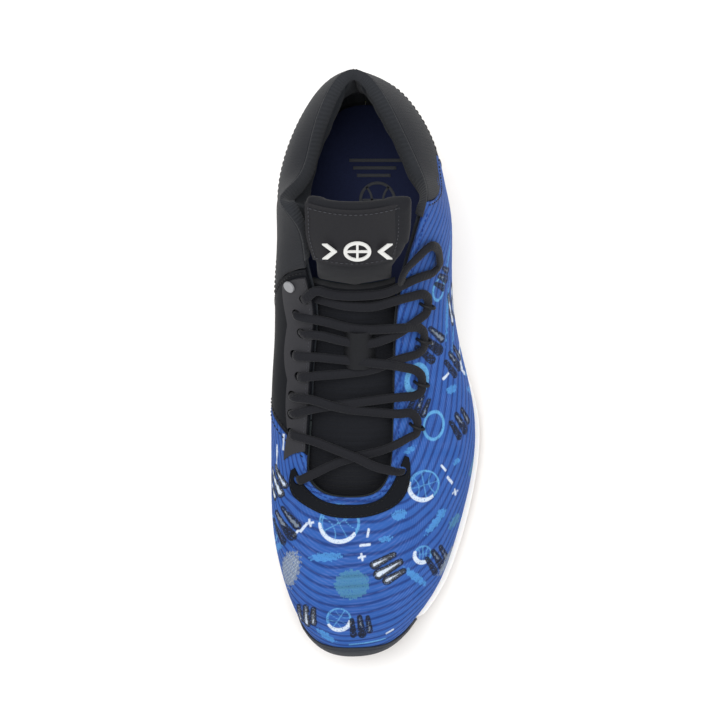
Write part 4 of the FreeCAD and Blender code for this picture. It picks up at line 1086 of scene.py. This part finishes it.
def label_line(us, vs):
    """Points and outward directions just over the label's face."""
    centre, along = spline([(TONGUE_X, y, z) for y, z in UPPER_SPINE], vs)
    front = np.column_stack((0 * vs, -along[:, 2], along[:, 1]))
    half = 18.5 + 4.5 * ease((vs - 0.25) / 0.5)
    points = centre + np.outer(us * half, CROSSWISE) - front * ((3.0 + 3.0 * vs) * us ** 2 - 1.55)[:, None]
    return points, front


sweep = np.linspace(0.0, 1.0, 120)
rows = [label_line(-0.9 + 1.8 * sweep, 0 * sweep + 0.455), label_line(-0.9 + 1.8 * sweep, 0 * sweep + 0.955),
        label_line(0 * sweep - 0.91, 0.455 + 0.5 * sweep), label_line(0 * sweep + 0.91, 0.455 + 0.5 * sweep)]
stitched("label_stitching", rows, pale_thread, *FINE_STITCH, TONGUE_TOP, "black_cord")

# ================================================================ lace
# One flat-oval braided lace. It follows the holes, loops and keeper; the braid's herringbone is
# in the mesh. Each row of the route is a corner that the lace rounds.
LACE_ROUTE = (
    (13.8, 37.5, 89.5), (12.8, 41.5, 98.5), (11.8, 44.5, 108.0), (11.4, 47.5, 117.0),
    (13.7, 52.0, 122.0), (25.2, 63.4, 125.8), (29.3, 62.3, 115.8), (30.8, 54.7, 104.3),
    (27.0, 50.5, 105.1), (19.0, 48.0, 112.0), (4.2, 40.5, 110.5), (-5.8, 39.5, 109.3),
    (-14.8, 39.2, 109.3), (-23.3, 40.0, 110.5), (-30.3, 42.3, 113.5), (-37.7, 36.2, 106.2),
    (-32.6, 42.1, 99.1), (-35.8, 34.3, 91.0), (-41.8, 29.6, 98.3), (-27.8, 27.5, 102.0),
    (-16.8, 24.4, 99.5), (-9.8, 23.2, 98.5), (-2.8, 22.9, 99.0), (10.2, 23.6, 103.5),
    (20.5, 24.5, 92.9), (23.6, 21.9, 89.3), (23.6, 13.6, 85.4), (20.3, 10.9, 86.1), (9.2, 8.0, 90.5),
    (-1.3, 3.2, 87.5), (-16.3, 1.0, 87.0), (-30.8, 0.0, 88.0), (-40.9, -1.4, 83.0), (-35.8, 2.5, 74.7),
    (-38.9, -7.7, 68.3), (-44.6, -10.9, 76.4), (-32.8, -12.0, 83.5), (-23.3, -15.2, 84.8),
    (-13.8, -17.3, 79.5), (-1.2, -18.5, 77.5), (10.2, -19.5, 78.5), (17.2, -18.7, 75.0),
    (20.7, -22.2, 72.6), (20.4, -30.0, 70.0), (16.8, -31.4, 70.5), (10.2, -35.0, 73.0),
    (3.0, -38.3, 71.0), (-9.8, -41.4, 67.8), (-21.2, -45.0, 66.5), (-41.4, -55.0, 64.2),
    (-38.6, -51.6, 54.7), (-32.8, -65.0, 51.5), (-21.8, -70.5, 51.0), (-7.8, -70.5, 51.0),
    (3.2, -63.0, 52.5), (11.4, -47.1, 56.6), (13.0, -50.2, 66.5), (-0.8, -47.0, 71.5),
    (-10.3, -42.0, 73.0), (-19.8, -38.5, 72.5), (-31.8, -33.5, 73.0), (-45.9, -30.1, 69.1),
    (-40.2, -27.8, 60.7), (-39.4, -17.8, 64.2), (-45.3, -20.5, 72.5), (-31.8, -16.4, 80.0),
    (-15.8, -14.3, 80.5), (-0.8, -12.3, 81.5), (9.2, -11.0, 82.0), (18.9, -10.4, 77.6),
    (22.6, -8.2, 76.9), (22.7, 0.1, 80.1), (19.2, 3.1, 83.1), (6.2, 5.6, 93.5), (-2.8, 6.5, 93.0),
    (-16.8, 8.0, 90.0), (-30.8, 9.5, 91.0), (-43.2, 9.7, 86.7), (-37.4, 13.4, 78.8),
    (-34.0, 24.5, 86.7), (-39.3, 20.3, 94.7), (-29.8, 20.5, 99.0), (-16.8, 17.2, 96.0),
    (-9.8, 16.0, 95.0), (-1.8, 16.2, 95.5), (9.7, 20.5, 99.0), (21.4, 28.9, 94.7), (24.6, 31.4, 93.4),
    (25.4, 38.5, 96.9), (22.8, 40.9, 101.2), (10.2, 37.5, 109.0), (-2.8, 33.6, 105.5),
    (-16.8, 34.6, 105.5), (-25.8, 37.0, 105.5), (-31.8, 38.8, 103.0), (-35.2, 37.0, 96.5),
    (-36.8, 33.5, 88.0), (-37.8, 29.0, 79.0),
)
LACE_HALF_WIDTH = 2.35
LACE_HALF_THICK = 1.3
braid = woven("lace_braid_black", "#121319", 0.75, 0.6, 0.12)


def rounded_route(corners):
    points = [corners[0][None]]
    for before, corner, after in zip(corners, corners[1:], corners[2:]):
        cut = 0.45 * min(np.linalg.norm(before - corner), np.linalg.norm(after - corner))
        start = corner + unit(before - corner) * cut
        end = corner + unit(after - corner) * cut
        f = np.linspace(0.0, 1.0, 12)[:, None]
        points.append(start * (1 - f) ** 2 + corner * 2 * f * (1 - f) + end * f ** 2)
    points.append(corners[-1][None])
    line = np.concatenate(points)
    run = np.concatenate(([0.0], np.cumsum(np.linalg.norm(np.diff(line, axis=0), axis=1))))
    at = np.arange(0.0, run[-1], 0.5)
    return np.column_stack([np.interp(at, run, line[:, k]) for k in range(3)]), at


def build_lace():
    line, run = rounded_route(np.array(LACE_ROUTE))
    tangent = unit(np.gradient(line, axis=0))
    wanted = unit(np.column_stack((line[:, 0] - TONGUE_X, -8.0 + 0 * run, 34.0 + 0 * run)))
    around = np.linspace(0.0, 2 * math.pi, 18, endpoint=False)
    cosine, sine = np.cos(around), np.sin(around)
    flat = np.sign(cosine) * np.abs(cosine) ** 0.8 * LACE_HALF_WIDTH
    thick = np.sign(sine) * np.abs(sine) ** 0.8 * LACE_HALF_THICK
    up = wanted[0]
    rings = []
    for k, point in enumerate(line):
        goal = wanted[k] if wanted[k] @ up > 0 else -wanted[k]
        up = up + 0.07 * (goal - up)
        up = unit(up - tangent[k] * (up @ tangent[k]))
        side = np.cross(tangent[k], up)
        braid_relief = 1.0 + 0.11 * np.sin(2 * math.pi * (run[k] + 1.1 * np.abs(flat)) / 1.9)
        rings.append(point + np.outer(flat, side) + np.outer(thick * braid_relief, up))
    return turned_out(loop_mesh("lace_braided", np.array(rings), braid))


lace = build_lace()
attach(lace, SHOE)
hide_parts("lace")

# Lace tips, side loops and keeper.
tip = grained("aglet_clear_plastic", "#3A3A3D", 0.2, 900.0, 0.02, "#343437", "#444448")
cord_skin = grained("loop_cord_braided", "#121316", 0.6, 2600.0, 0.12, "#0D0E10", "#1C1D21")
webbing = grained("keeper_webbing", "#151619", 0.8, 1900.0, 0.2, "#101113", "#202125")
for node, finish in (("aglets", tip), ("lateral_lace_loops", cord_skin), ("lace_keeper", webbing)):
    repaint(node, finish)

# ================================================================ inside the shoe
# Navy sockliner with a grey print at the heel: three bars and a plain ball outline. Under it
# are the lasting board, cushions, shank, counter, puff and backings, in their own finishes.
insole = grained("sockliner_navy_fabric", "#1E2542", 0.88, 1600.0, 0.15, "#181E38", "#262E50")
repaint("sockliner", insole)
insole_print = grained("sockliner_print_grey", "#46484C", 0.8, 1600.0, 0.08, "#3E4044", "#505256")
PRINT_AT = (0.5, 93.0)
PRINT_LIFT = 7.2


def flat_print(name, lines):
    """Thin strips of print that lie on the sockliner; each line is its two edges in plan, in mm."""
    meshes = []
    for k, (inner, outer) in enumerate(lines):
        rings = []
        for one, two in zip(inner, outer):
            z = footbed_line(np.array([one[1], two[1]])) + PRINT_LIFT
            rings.append(((one[0], one[1], z[0] + 0.02), (two[0], two[1], z[1] + 0.02),
                          (two[0], two[1], z[1] + 0.2), (one[0], one[1], z[0] + 0.2)))
        meshes.append(loop_mesh(name + str(k), rings, insole_print))
    work = bmesh.new()
    for piece in meshes:
        work.from_mesh(piece.data)
        bpy.data.objects.remove(piece)
    bmesh.ops.remove_doubles(work, verts=work.verts, dist=0.00001)
    bmesh.ops.recalc_face_normals(work, faces=work.faces)
    mesh = bpy.data.meshes.new(name)
    work.to_mesh(mesh)
    work.free()
    piece = linked(mesh, insole_print, name)
    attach(piece, SOCKLINER)
    return piece


def plan_line(points, width):
    points = np.asarray(points, float)
    along = unit(np.gradient(points, axis=0))
    side = np.column_stack((-along[:, 1], along[:, 0])) * width / 2
    return points + side, points - side


turn = np.linspace(0.0, 2 * math.pi, 60)
ball_at = np.array(PRINT_AT)
lines = [plan_line(ball_at + 9.0 * np.column_stack((np.cos(turn), np.sin(turn))), 1.6)]
half_line = np.linspace(-8.0, 8.0, 20)
lines.append(plan_line(ball_at + np.column_stack((half_line, 0 * half_line)), 1.2))
for side in (-1, 1):
    bow = ball_at + np.column_stack((side * (3.0 + 0.045 * half_line ** 2), half_line * 0.86))
    lines.append(plan_line(bow, 1.2))
for k in range(3):
    bar = np.linspace(-15.0 + 2 * k, 13.0 - 3 * k, 16)
    lines.append(plan_line(ball_at + np.column_stack((bar, 0 * bar + 21.0 - 4.0 * k)), 1.8))
flat_print("sockliner_heel_print", lines)

board = grained("stiffener_board_grey", "#4B4C50", 0.85, 1100.0, 0.1, "#434448", "#55565A")
fleece = grained("strobel_fleece_dark", "#2A2C33", 0.95, 2200.0, 0.2, "#23252B", "#33353D")
shank_black = grained("shank_composite", "#1F2023", 0.35, 1400.0, 0.04, "#191A1C", "#2A2B2F")
gel = grained("cushion_gel_clear", "#CFE0EA", 0.25, 600.0, 0.05, "#C2D6E2", "#DCEAF2")
for node, finish in (("heel_counter", board), ("toe_puff", board), ("quarter_backing_lateral", foam_core),
                     ("quarter_backing_medial", foam_core), ("strobel_board", fleece),
                     ("shank_plate", shank_black), ("forefoot_cushion", gel), ("heel_cushion", gel)):
    repaint(node, finish)
